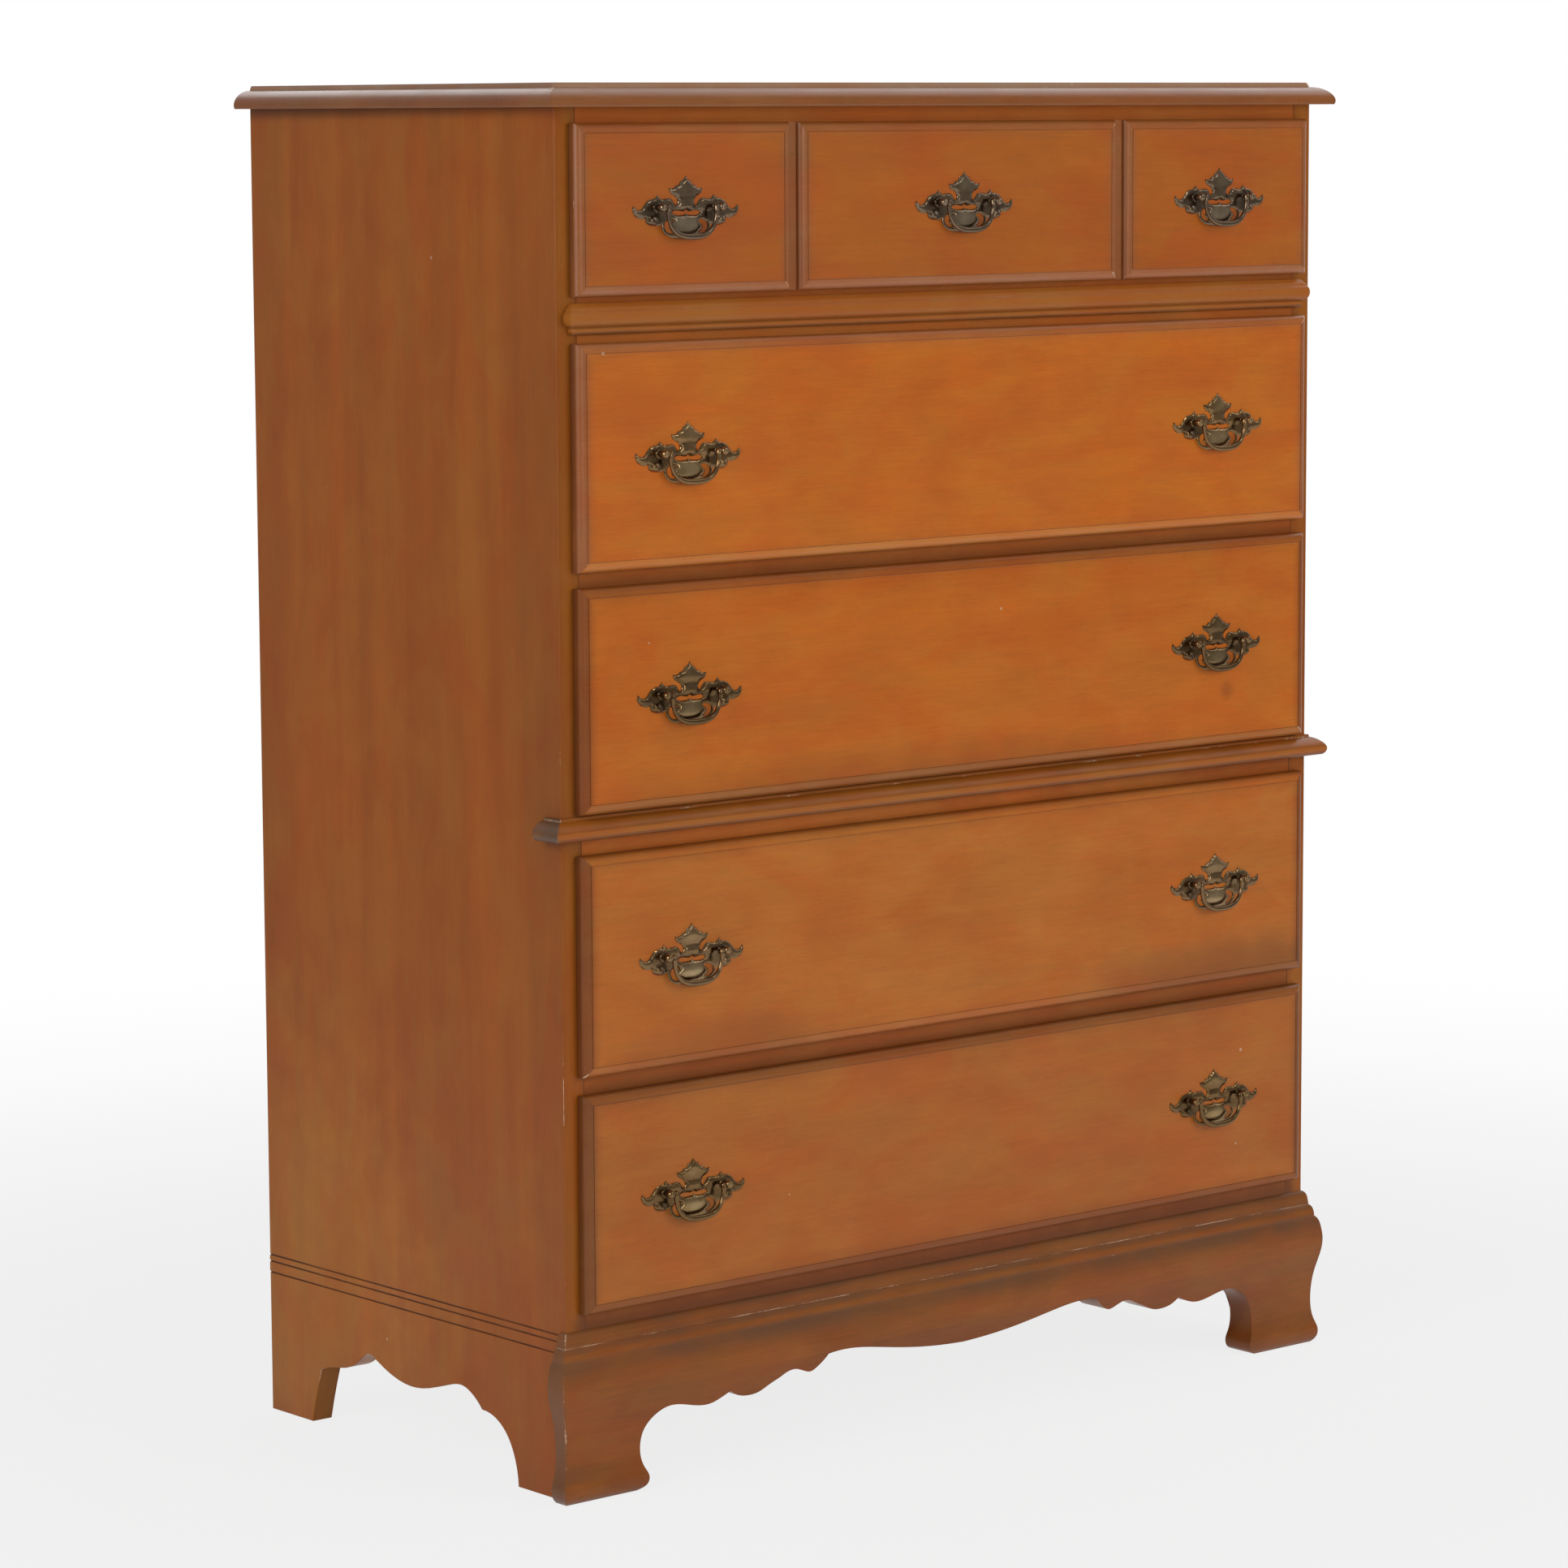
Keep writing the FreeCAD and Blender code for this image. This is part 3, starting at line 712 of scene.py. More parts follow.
@dataclass(frozen=True)
class StainedWood:
    """Close-grained wood under a sprayed brown stain and satin lacquer."""

    name: str
    tone: Colour
    rim: Colour
    grain: Grain
    spread: float = 0.22
    band: float = 0.45
    streak: float = 0.75
    cloud: float = 0.75
    fleck: float = 0.22
    marks: float = 0.6
    wear_reach: float = 0.6
    seam: float = 0.0
    sheen: float = 0.28
    # Darker patches: stains on some drawers, and painted shade and shadow on the sides and rails.
    stains_and_shade: tuple[Spot, ...] = ()
    rubs: tuple[Spot, ...] = ()
    # Paler patches: painted light on the rails and low on the sides, and a lighter tone on the stiles.
    lifts: tuple[Spot, ...] = ()
    lifted: Colour = (1.4, 1.4, 1.3)
    redder: Colour = (1.0, 0.80, 0.62)
    shade: Colour = (0.085, 0.026, 0.008)
    # Colour of the painted floor light and pale wear where the vertices carry it.
    buffed: Colour = (0.48, 0.175, 0.028)
    rubbed: Colour = (0.50, 0.36, 0.26)
    gloss: Pair = (0.30, 0.42)

    def toned(self, kit: NodeKit, tone: bpy.types.NodeSocket, colour: Colour) -> bpy.types.NodeSocket:
        """Colour spread out by the tone of the grain."""
        darker, lighter = (tuple(c * (1 + share) for c in colour) for share in (-self.spread, self.spread))
        return kit.mix(tone, darker, lighter)

    def stained(self, kit: NodeKit, figure: bpy.types.Node, place: bpy.types.NodeSocket
                ) -> bpy.types.NodeSocket:
        """Colour of the stain over the wood with its painted light and painted shade, before any wear.

        Args:
            kit: The material's kit.
            figure: The wood's grain.
            place: Place on the piece.

        Returns:
            The colour's socket.
        """
        tone = figure.outputs["Tone"]
        flat, rim = (self.toned(kit, tone, colour) for colour in (self.tone, self.rim))
        colour = kit.mix(kit.painted(Paint.MOULDED), flat, rim)
        # Painted light and pale wear where the vertices ask for it.
        colour = kit.mix(kit.painted(Paint.BUFFED), colour, self.buffed)
        colour = kit.mix(figure.outputs["Warmth"], colour, self.redder, "MULTIPLY")
        # Paler patches: painted light, and a lighter tone on the stiles.
        for spot in self.lifts:
            colour = kit.mix(spot.mask(kit), colour, self.lifted, "MULTIPLY")
        # Painted shade from the vertices, broken up by noise, then the darker patches.
        veil = kit.noise(place, 9.0, 4.0, 0.55, 0.5)
        shaded = kit.maths("MULTIPLY", kit.painted(Paint.SHADE), kit.ramp(veil, 0.15, 0.6))
        for spot in self.stains_and_shade:
            shaded = kit.maths("MAXIMUM", shaded, spot.mask(kit))
        if self.seam:
            shaded = kit.maths("MAXIMUM", shaded, self.joint_line(kit))
        return kit.mix(kit.maths("MAXIMUM", shaded, figure.outputs["Fleck"]), colour, self.shade)

    def material(self, effects: Effects) -> bpy.types.Material:
        """Builds the finish.

        Args:
            effects: Shared shader groups.

        Returns:
            The material.
        """
        material, kit, shader = new_finish(self.name)
        place = kit.place(self.grain)
        figure = kit.group(effects.figure, {
            "Vector": place, "Band": self.band, "Streak": self.streak,
            "Cloud": self.cloud, "Fleck": self.fleck,
        })
        amount = kit.painted(Paint.WEAR)
        for spot in self.rubs:
            amount = kit.maths("MULTIPLY", amount, kit.maths("ADD", spot.mask(kit), 1.0))
        worn = kit.group(effects.wear, {"Vector": place, "Amount": amount, "Reach": self.wear_reach})
        face = kit.stretch(place, self.grain.face)
        nicked = kit.group(effects.marks, {"Vector": face, "Amount": self.marks})
        bare = kit.maths("MAXIMUM", worn.outputs["Mask"], nicked.outputs["Mask"])
        kit.feed(shader.inputs["Base Color"], kit.mix(bare, self.stained(kit, figure, place), self.rubbed))
        smear = kit.noise(place, 14.0, 3.0, 0.6)
        rough = kit.ramp(smear, 0.3, 0.7, self.gloss[0], self.gloss[1])
        kit.feed(shader.inputs["Roughness"], kit.maths("MULTIPLY_ADD", bare, 0.25, rough, clamp=True))
        height = kit.maths("MULTIPLY_ADD", bare, -2.0, figure.outputs["Height"])
        kit.roughen(shader, height, 0.10, 0.0003)
        shader.inputs["Specular IOR Level"].default_value = self.sheen
        return material

    def joint_line(self, kit: NodeKit) -> bpy.types.NodeSocket:
        """Dark hairline where a rail meets the case sides."""
        across = kit.maths("ABSOLUTE", kit.add("ShaderNodeSeparateXYZ", {"Vector": kit.here()}).outputs["X"])
        return kit.ramp(across, self.seam - 0.0011, self.seam - 0.0004)


@dataclass(frozen=True)
class BareWood:
    """Unfinished wood inside the case and the drawers."""

    name: str
    light: Colour
    dark: Colour
    grain: Grain
    band: float = 1.2
    streak: float = 0.9

    def material(self, effects: Effects) -> bpy.types.Material:
        """Builds the finish.

        Args:
            effects: Shared shader groups.

        Returns:
            The material.
        """
        material, kit, shader = new_finish(self.name)
        place = kit.place(self.grain)
        figure = kit.group(effects.figure, {
            "Vector": place, "Band": self.band, "Streak": self.streak, "Cloud": 0.6, "Fleck": 0.5,
        })
        colour = kit.mix(figure.outputs["Tone"], self.dark, self.light)
        colour = kit.mix(figure.outputs["Fleck"], colour, self.dark)
        kit.feed(shader.inputs["Base Color"], colour)
        kit.feed(shader.inputs["Roughness"], kit.ramp(figure.outputs["Tone"], 0.0, 1.0, 0.75, 0.6))
        kit.roughen(shader, figure.outputs["Height"], 0.3, 0.0005)
        return material


@dataclass(frozen=True)
class PressedBoard:
    """Hard brown board of pressed fibres."""

    name: str
    light: Colour
    dark: Colour

    def material(self, effects: Effects) -> bpy.types.Material:
        """Builds the finish.

        Args:
            effects: Shared shader groups.

        Returns:
            The material.
        """
        material, kit, shader = new_finish(self.name)
        place = kit.place(Grain.ACROSS)
        fibre = kit.noise(place, 900.0, 4.0, 0.7)
        stain = kit.noise(place, 5.0, 4.0, 0.55)
        tone = kit.swayed(fibre, 0.8, stain, clamp=True)
        marks = kit.group(effects.marks, {"Vector": place, "Amount": 0.3}).outputs["Mask"]
        colour = kit.mix(kit.ramp(tone, 0.25, 0.75), self.dark, self.light)
        kit.feed(shader.inputs["Base Color"], kit.mix(marks, colour, self.light))
        kit.feed(shader.inputs["Roughness"], kit.ramp(fibre, 0.3, 0.7, 0.55, 0.75))
        kit.roughen(shader, fibre, 0.25, 0.0004)
        return material


@dataclass(frozen=True)
class AgedMetal:
    """Metal that is dark in its hollows and rubbed bright where it stands proud."""

    name: str
    hollow: Colour
    body: Colour
    bright: Colour
    gloss: Pair

    def darkened(self, name: str, share: float, grey: float) -> "AgedMetal":
        """The same metal darkened and greyed, for heavier tarnish and for painted darker reflections.

        Args:
            name: Name of the new finish.
            share: How much of each colour is left.
            grey: How far each colour is drawn to grey.

        Returns:
            The finish.
        """
        dulled = []
        for colour in (self.hollow, self.body, self.bright):
            level = sum(colour) / 3
            dulled.append(tuple(share * (channel + grey * (level - channel)) for channel in colour))
        return replace(self, name=name, hollow=dulled[0], body=dulled[1], bright=dulled[2])

    def material(self, effects: Effects) -> bpy.types.Material:
        """Builds the finish.

        Args:
            effects: Shared shader groups; not used.

        Returns:
            The material.
        """
        material, kit, shader = new_finish(self.name)
        place = kit.place(Grain.ACROSS)
        tarnish = kit.noise(place, 90.0, 4.0, 0.6)
        grit = kit.noise(place, 1600.0, 3.0, 0.6)
        relief = kit.swayed(tarnish, 0.6, kit.painted(Paint.RELIEF))
        colour = kit.mix(kit.ramp(relief, 0.15, 0.65), self.hollow, self.body)
        colour = kit.mix(kit.ramp(relief, 0.65, 1.15), colour, self.bright)
        kit.feed(shader.inputs["Base Color"], colour)
        rough = kit.ramp(tarnish, 0.3, 0.7, self.gloss[0], self.gloss[1])
        kit.feed(shader.inputs["Roughness"], rough)
        kit.roughen(shader, grit, 0.03, 0.0001)
        shader.inputs["Metallic"].default_value = 1.0
        return material


def new_finish(name: str) -> tuple[bpy.types.Material, NodeKit, bpy.types.Node]:
    """Starts a material.

    Args:
        name: Its name.

    Returns:
        The material, a kit for its nodes, and its shader.
    """
    material = bpy.data.materials.new(name)
    material.use_nodes = True
    return material, NodeKit(material.node_tree), material.node_tree.nodes["Principled BSDF"]


@dataclass
class Case:
    """Places of the case that the other pieces are set out from."""

    half: float = field(init=False)
    front: float = field(init=False)
    back: float = field(init=False)
    inner_half: float = field(init=False)

    def __post_init__(self) -> None:
        """Reads the places from the frame."""
        low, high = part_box("right_side")
        self.half = high.x
        self.inner_half = low.x
        self.front = low.y
        self.back = high.y


@dataclass
class Moulding:
    """Moulded strip across the front, mitred at both corners and returned along the ends."""

    name: str
    case: Case
    shares: Shares
    run: float
    backing: float = 0.0
    steps: int = 6
    nick: float = 0.0016
    arris_wear: tuple[float, ...] = (0.45,)
    mitre_wear: float = 0.6
    mitre_from: float = 0.0
    return_shade: float = 0.0
    # Range of height shares painted paler: painted light on noses, and wear on the top's fillet.
    nose: Pair = (0.0, 0.0)
    shades: tuple[Pair, ...] = ((0.0, 0.0),)
    low: float = field(init=False)
    height: float = field(init=False)
    projection: float = field(init=False)
    half_length: float = field(init=False)

    def __post_init__(self) -> None:
        """Takes the strip's sizes from its node."""
        low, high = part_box(self.name)
        self.low = low.z
        self.height = high.z - low.z
        self.projection = self.case.front - low.y
        self.half_length = high.x - self.projection

    def stations(self) -> list[tuple[Callable[[float], Pair], float, float]]:
        """Places along the strip, from its left end to its right end.

        Returns:
            For each place a rule from the profile's reach to X and Y, how worn it is and how much painted
            shade and dirt darken it.
        """
        half, front, run = self.half_length, self.case.front, self.run

        def beside(reach: float) -> float:
            """How far the worn mitre runs along a return."""
            return min(self.nick, (run + reach) / 2)

        stations: list[tuple[Callable[[float], Pair], float, float]] = [
            (lambda reach: (-half - reach, front + run), 0.0, self.return_shade),
            (lambda reach: (-half - reach, front - reach + beside(reach)), 0.0, self.return_shade),
            (lambda reach: (-half - reach, front - reach), self.mitre_wear, self.return_shade / 2),
            (lambda reach: (-half - reach + self.nick, front - reach), 0.0, 0.0),
        ]
        mirrored = [
            (lambda reach, rule=rule: (-rule(reach)[0], rule(reach)[1]), wear, shade)
            for rule, wear, shade in reversed(stations)
        ]
        return stations + mirrored

    def rows(self) -> list[tuple[float, float, float]]:
        """Reach, height and wear of each line along the strip, from the top down.

        Returns:
            The lines.
        """
        rows = []
        corners = 0
        for reach, level, corner in outline_run(self.shares, (self.projection, self.height), self.steps):
            wear = self.arris_wear[corners % len(self.arris_wear)] if corner else 0.0
            corners += corner
            rows.append((reach, self.low + level, wear))
        return rows

    def grid(self, draft: Draft, rows: Sequence[tuple[float, float, float]]) -> list[list[int]]:
        """Lays the moulded surface.

        Args:
            draft: Mesh to add to.
            rows: Lines along the strip.

        Returns:
            The vertices of each line.
        """
        levels, depths = zip(*self.shades)
        lines = []
        for reach, z, row_wear in rows:
            share = (z - self.low) / self.height
            # Painted light and wear along the nose range, and painted shade and dirt by height.
            buffed = float(self.nose[0] < share < self.nose[1])
            row_shade = float(np.interp(share, levels, depths))
            line = []
            for rule, wear, shade in self.stations():
                wear *= share >= self.mitre_from
                x, y = rule(reach)
                line.append(draft.point(
                    x, y, z, moulded=1.0, buffed=buffed, wear=max(wear, row_wear),
                    shade=max(shade, row_shade),
                ))
            lines.append(line)
        draft.skin(lines)
        return lines

    def strip(self) -> Draft:
        """Strip with a flat back against the case.

        Returns:
            The mesh under construction.
        """
        draft = Draft(self.name)
        top = self.low + self.height
        rows = [(-self.backing, top, 0.0), *self.rows(), (-self.backing, self.low, 0.0)]
        if rows[0][:2] == rows[1][:2]:
            rows.pop(0)
        lines = self.grid(draft, rows)
        draft.bridge(lines[-1], lines[0])
        for end in (0, -1):
            draft.cap([line[end] for line in lines])
        return draft

    def board(self) -> Draft:
        """Whole board with this profile on three edges.

        Returns:
            The mesh under construction.
        """
        draft = Draft(self.name)
        rows = self.rows()
        lines = self.grid(draft, rows)
        flat = []
        for rule, _, _ in self.stations():
            flat.append(draft.point(*rule(rows[0][0] - self.nick), rows[0][1], moulded=1.0))
        draft.bridge(flat, lines[0])
        lines.insert(0, flat)
        draft.cap(lines[0])
        draft.cap(lines[-1])
        draft.cap([line[0] for line in lines] + [line[-1] for line in reversed(lines)])
        return draft


@dataclass
class CaseWork:
    """Boards and mouldings of the case."""

    case: Case
    case_wood: bpy.types.Material
    edge_wood: bpy.types.Material
    top_wood: bpy.types.Material
    base_return: float = 0.007
    base_thickness: float = 0.021
    waist_return: float = 0.020
    bead_seat: float = 0.0005
    eased_edge: float = 0.0009
    rim_wear: float = 0.55
    rim_angle: float = 30.0
    side_crisp: float = 20.0
    flat_angle: float = 0.5
    broad_face: float = 0.004
    scribed: Pair = (0.84, 1.02)
    scribe_depth: float = 0.001
    merge_reach: float = 1e-6
    face_slack: float = 1e-5
    top_slack: float = 1e-4
    arch_overrun: float = 0.02
    edge_steps: int = 6

    def build(self) -> None:
        """Builds and places every piece."""
        self.top_board()
        self.base_board()
        # The strips are painted darker in their grooves, under their noses and on the waist's returns, as
        # shade and dirt, and paler over their nose ranges as painted light.
        self.applied(Moulding(
            "bead_moulding", self.case, BEAD_PROFILE_SHARES, self.bead_seat, arris_wear=(0.45, 0.35, 0.0),
            nose=(0.1, 1.01), shades=BEAD_SHADE_SHARES,
        ))
        self.applied(Moulding(
            "waist_moulding", self.case, WAIST_PROFILE_SHARES, self.waist_return, nose=(0.18, 0.42),
            arris_wear=(0.6,), return_shade=1.0, shades=WAIST_SHADE_SHARES,
        ))
        for node in ("left_side", "right_side"):
            self.side(node)

    def top_board(self) -> None:
        """Top with a moulded edge on three sides."""
        depth = self.case.back - self.case.front
        # Its returns take painted shade, and its fillet pale wear.
        draft = Moulding(
            "top_panel", self.case, TOP_EDGE_SHARES, depth, nick=0.004, mitre_from=0.62,
            return_shade=0.4, nose=(0.80, 0.98),
        ).board()
        draft.name = "top_board"
        placed(draft.piece(self.top_wood), "case", "case_wood", "top_panel")

    def applied(self, moulding: Moulding) -> None:
        """Strip nailed on the case front.

        Args:
            moulding: The strip.
        """
        draft = moulding.strip()
        draft.name = moulding.name.replace("moulding", "strip")
        placed(draft.piece(self.edge_wood), "case", "rail_wood", moulding.name)

    def base_board(self) -> None:
        """Moulded base, scalloped between its two feet."""
        case = self.case
        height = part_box("base_front")[1].z
        seam = self.base_return * 0.98
        # Painted shade and dirt by height, and darker returns.
        strip = Moulding(
            "base_front", case, BASE_PROFILE_SHARES, self.base_return, backing=seam, nick=0.0032,
            arris_wear=(0.85, 0.3), return_shade=0.65, shades=BASE_DIRT_AND_SHADE_SHARES,
        ).strip()
        tongue = Draft("tongue")
        ends = (case.front + seam, case.front + self.base_thickness)
        tongue.prism(rectangle(case.inner_half, 0.0, height), ends, 1.0)
        cutter = self.arch(height)
        meshes = []
        for draft in (strip, tongue):
            block = draft.piece(self.edge_wood)
            cut = block.modifiers.new("scallop", "BOOLEAN")
            cut.operation = "DIFFERENCE"
            cut.solver = "EXACT"
            cut.object = cutter
            meshes.append(settled(block))
        bpy.data.objects.remove(cutter)
        whole = joined("base_board", meshes)
        placed(shown("base_board", whole, self.edge_wood, CRISP), "case", "case_wood", "base_front")

    def arch(self, height: float) -> bpy.types.Object:
        """Block that cuts the scallops out of the base.

        Args:
            height: Height of the base.

        Returns:
            The block.
        """
        half, front = self.case.half, self.case.front
        run = outline_run(BASE_EDGE_SHARES, (half, height), self.edge_steps)
        left = [(reach - half, z) for reach, z, _ in run]
        outline = left + [(-x, z) for x, z in reversed(left[:-1])]
        draft = Draft("arch")
        ends = (front - self.arch_overrun, front + self.base_thickness + self.arch_overrun)
        draft.prism(outline, ends, 1.0)
        return draft.piece(self.edge_wood)

    def side(self, node: str) -> None:
        """Case side with its outer edges eased and worn.

        Args:
            node: Node that it stands for.
        """
        low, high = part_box(node)
        outer = low.x if node == "left_side" else high.x
        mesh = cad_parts[node].data.copy()
        board = bmesh.new()
        board.from_mesh(mesh)
        bmesh.ops.remove_doubles(board, verts=board.verts, dist=self.merge_reach)
        flat = math.radians(self.flat_angle)
        bmesh.ops.dissolve_limit(board, angle_limit=flat, verts=board.verts, edges=board.edges)
        crest = board.verts.layers.float.new(Paint.WEAR.value)
        shade = board.verts.layers.float.new(Paint.SHADE.value)
        scribed = self.scribed_levels()
        for vert in board.verts:
            sunk = 0.0 < abs(vert.co.x - outer) - self.scribe_depth * 0.9 < self.scribe_depth * 0.2
            vert[shade] = float(sunk and scribed[0] < vert.co.z < scribed[1])
        rim = [edge for edge in board.edges if self.on_rim(edge, outer)]
        made = bmesh.ops.bevel(
            board, geom=rim, offset=self.eased_edge, segments=2, profile=0.5, affect="EDGES",
            clamp_overlap=True,
        )
        for vert in made["verts"]:
            away = abs(vert.co.x - outer)
            narrow = max(face.calc_area() for face in vert.link_faces) < self.broad_face
            middle = self.eased_edge * 0.1 < away < self.eased_edge * 0.9
            vert[crest] = self.rim_wear if narrow and middle else 0.0
        board.to_mesh(mesh)
        board.free()
        piece = shown(node.replace("_side", "_board"), mesh, self.case_wood, self.side_crisp)
        for face in mesh.polygons:
            face.use_smooth = face.area < self.broad_face
        placed(piece, "case", "case_wood", node)

    def on_rim(self, edge: bmesh.types.BMEdge, outer: float) -> bool:
        """Whether an edge is a long outer edge of a case side.

        Args:
            edge: Edge of the board.
            outer: X of the board's outer face.

        Returns:
            True for the front, back and scalloped edges.
        """
        if len(edge.link_faces) != 2 or edge.calc_face_angle(0.0) < math.radians(self.rim_angle):
            return False
        if any(abs(vert.co.x - outer) > self.face_slack for vert in edge.verts):
            return False
        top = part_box("left_side")[1].z
        scribed = self.scribed_levels()
        middle = (edge.verts[0].co.z + edge.verts[1].co.z) / 2
        return middle < scribed[0] or scribed[1] < middle < top - self.top_slack

    def scribed_levels(self) -> Pair:
        """Heights between which the case sides carry their scribed lines."""
        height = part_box("base_front")[1].z
        return self.scribed[0] * height, self.scribed[1] * height


def joined(name: str, meshes: Iterable[bpy.types.Mesh]) -> bpy.types.Mesh:
    """Lays several meshes into one.

    Args:
        name: Name of the new mesh.
        meshes: Meshes to lay together.

    Returns:
        The joined mesh.
    """
    whole = bmesh.new()
    for mesh in meshes:
        whole.from_mesh(mesh)
    result = bpy.data.meshes.new(name)
    whole.to_mesh(result)
    whole.free()
    return result


@dataclass(frozen=True)
class Ring:
    """One rectangular line round a drawer panel: how far in, how far out, and its paint.

    The moulded shares are those along the sill, the uprights and the head.
    """

    inset: float
    depth: float
    moulded: tuple[float, float, float] = (1.0, 1.0, 1.0)
    shade: float = 0.0
    wear: float = 0.0
    buffed: float = 0.0


@dataclass(frozen=True)
class DrawerLook:
    """What sets one drawer's look apart: its stain, its mouldings' painted shade and painted light, and its
    pulls' tarnish.

    The tarnish is the share of the brass's colour that is left, and how far that is drawn to grey; it stands
    for tarnish and for painted darker reflections.
    """

    wood: StainedWood
    tarnish: Pair
    sill_shade: float = 0.15
    head_shade: float = 1.0
    head_glow: float = 0.42


@dataclass
class DrawerFront:
    """Lipped drawer front with a rounded edge round each flat field."""

    body: str
    case: Case
    finish: bpy.types.Material
    look: DrawerLook
    lip_gap: float = 0.0005
    lip_depth: float = 0.0048
    left_ease: float = 0.0025
    ovolo_radius: float = 0.006
    ovolo_width: float = 0.0085
    quirk: float = 0.0004
    quirk_width: float = 0.0006
    side_panel_width: float = 0.2342
    valley_width: float = 0.0098
    lip_overhang: float = 0.004
    run_gap: float = 0.0003
    drop_gap: float = 0.002
    tail_relief: float = 0.00006
    corner_reach: float = 0.002
    corner_wear: float = 0.6
    lip_wear: float = 0.25
    lip_shade: float = 0.8
    arc_shade: float = 0.6
    arc_fade: float = 2.4
    upright_glow: float = 0.1
    quirk_shade: float = 0.05
    fade_reach: float = 0.009
    hair: float = 0.0001
    arc_steps: int = 8
    left: float = field(init=False)
    right: float = field(init=False)
    low: float = field(init=False)
    high: float = field(init=False)
    proud: float = field(init=False)
    block_back: float = field(init=False)
    box_half: float = field(init=False)

    def __post_init__(self) -> None:
        """Takes the front's sizes from its node."""
        low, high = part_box(self.body + "_front")
        self.left, self.right = low.x + self.left_ease, high.x
        self.low, self.high = low.z, high.z
        self.proud = self.case.front - low.y
        self.block_back = high.y
        self.box_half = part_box(self.body + "_right_side")[1].x

    def panels(self) -> list[Pair]:
        """Left and right end of each raised panel.

        Returns:
            The ends, from the left panel to the right one.
        """
        if self.body != "drawer_1":
            return [(self.left, self.right)]
        inner = self.right - self.side_panel_width
        valley = inner - self.valley_width
        return [(self.left, -inner), (-valley, valley), (inner, self.right)]

    def panel_rings(self) -> list[Ring]:
        """Lines round a panel, from the back of its lip to the flat of its field.

        Returns:
            The lines.
        """
        crest = self.proud - self.quirk
        start = crest - self.ovolo_radius
        # Painted light: the ovolos take more of the field's paler tone towards their crest, most on the head;
        # the lip's back is darkened as painted shade.
        glow = self.look.head_glow
        rings = [Ring(0.0, self.lip_gap, shade=self.lip_shade)]
        for step in range(self.arc_steps + 1):
            share = step / self.arc_steps
            angle = math.pi / 2 * share
            rings.append(Ring(
                self.ovolo_radius * (1 - math.cos(angle)),
                start + self.ovolo_radius * math.sin(angle),
                (1.0, 1 - self.upright_glow * share, 1 - glow * share),
                shade=max(0.0, self.arc_shade - self.arc_fade * share),
                wear=self.lip_wear if step == 1 else 0.0,
                buffed=1.0,
            ))
        floor = crest - self.quirk_width / 2
        edge = self.ovolo_width
        front = (1.0, 1 - self.upright_glow, 1 - glow)
        rings += [
            Ring(edge - self.quirk_width, crest, front, buffed=1.0),
            Ring(edge - self.quirk_width, floor, front, self.quirk_shade, buffed=1.0),
            Ring(edge, floor, front, self.quirk_shade),
            Ring(edge, self.proud - self.quirk_width / 2, (0.1, 0.7, 0.4), self.quirk_shade),
            Ring(edge + self.quirk_width / 2, self.proud, (0.1, 0.62, 0.28)),
            Ring(edge + self.fade_reach * 0.4, self.proud, (0.04, 0.27, 0.12)),
            Ring(edge + self.fade_reach, self.proud, (0.0, 0.0, 0.0)),
        ]
        return rings

    def lay_ring(self, draft: Draft, ring: Ring, span: Pair) -> list[int]:
        """Adds one line round a panel, with extra points beside its corners.

        Args:
            draft: Mesh to add to.
            ring: The line.
            span: Left and right end of the panel.

        Returns:
            The line's vertices.
        """
        corners = (
            Vector((span[0] + ring.inset, self.low + ring.inset)),
            Vector((span[1] - ring.inset, self.low + ring.inset)),
            Vector((span[1] - ring.inset, self.high - ring.inset)),
            Vector((span[0] + ring.inset, self.high - ring.inset)),
        )
        y = self.case.front - ring.depth
        mitre = self.corner_wear * ring.buffed * (ring.shade == 0.0)
        line = []
        for i, (corner, run) in enumerate(zip(corners, (0, 1, 2, 1))):
            following = corners[(i + 1) % len(corners)]
            step = (following - corner).normalized() * self.corner_reach
            for place, wear, part in (
                (corner, max(mitre, ring.wear), 1), (corner + step, ring.wear, run),
                (following - step, ring.wear, run),
            ):
                # The sill takes painted light from the floor below, and each run its share of painted shade.
                line.append(draft.point(
                    place.x, y, place.y, moulded=ring.moulded[part], wear=wear,
                    buffed=ring.buffed * (part == 0),
                    shade=ring.shade * (self.look.sill_shade, 1.0, self.look.head_shade)[part],
                ))
        return line

    def shell(self, draft: Draft, rings: Sequence[Ring], span: Pair) -> None:
        """Closed shell through a set of lines.

        Args:
            draft: Mesh to add to.
            rings: Lines from the back to the front.
            span: Left and right end of the shell.
        """
        lines = [self.lay_ring(draft, ring, span) for ring in rings]
        draft.skin(lines, closed=True)
        draft.cap(lines[0])
        draft.cap(lines[-1])

    def block(self, draft: Draft) -> None:
        """Thick part of the front that stands inside the case, a hair short of the dovetails' ends.

        Args:
            draft: Mesh to add to.
        """
        reach = self.box_half - self.tail_relief
        low = self.low + self.lip_overhang + self.run_gap
        high = self.high - self.lip_overhang - self.drop_gap
        ends = (self.case.front - self.lip_gap, self.block_back)
        draft.prism(rectangle(reach, low, high), ends, 0.6)

    def build(self) -> None:
        """Builds and places the front."""
        draft = Draft(self.body + "_face")
        panels = self.panels()
        valley = self.lip_gap + self.lip_depth
        for first, second in zip(panels, panels[1:]):
            rings = (Ring(self.hair, self.lip_gap), Ring(self.hair, valley))
            self.shell(draft, rings, (first[1] - self.ovolo_radius, second[0] + self.ovolo_radius))
        for span in panels:
            self.shell(draft, self.panel_rings(), span)
        self.block(draft)
        placed(draft.piece(self.finish), self.body, "front_wood", self.body + "_front")


@dataclass(frozen=True)
class Boss:
    """Swelling on a pull's plate: its middle and reach as shares of the plate, its height and polish."""

    across: float
    up: float
    wide: float
    tall: float
    height: float
    edge: float = 1.3
    polish: float = 0.12


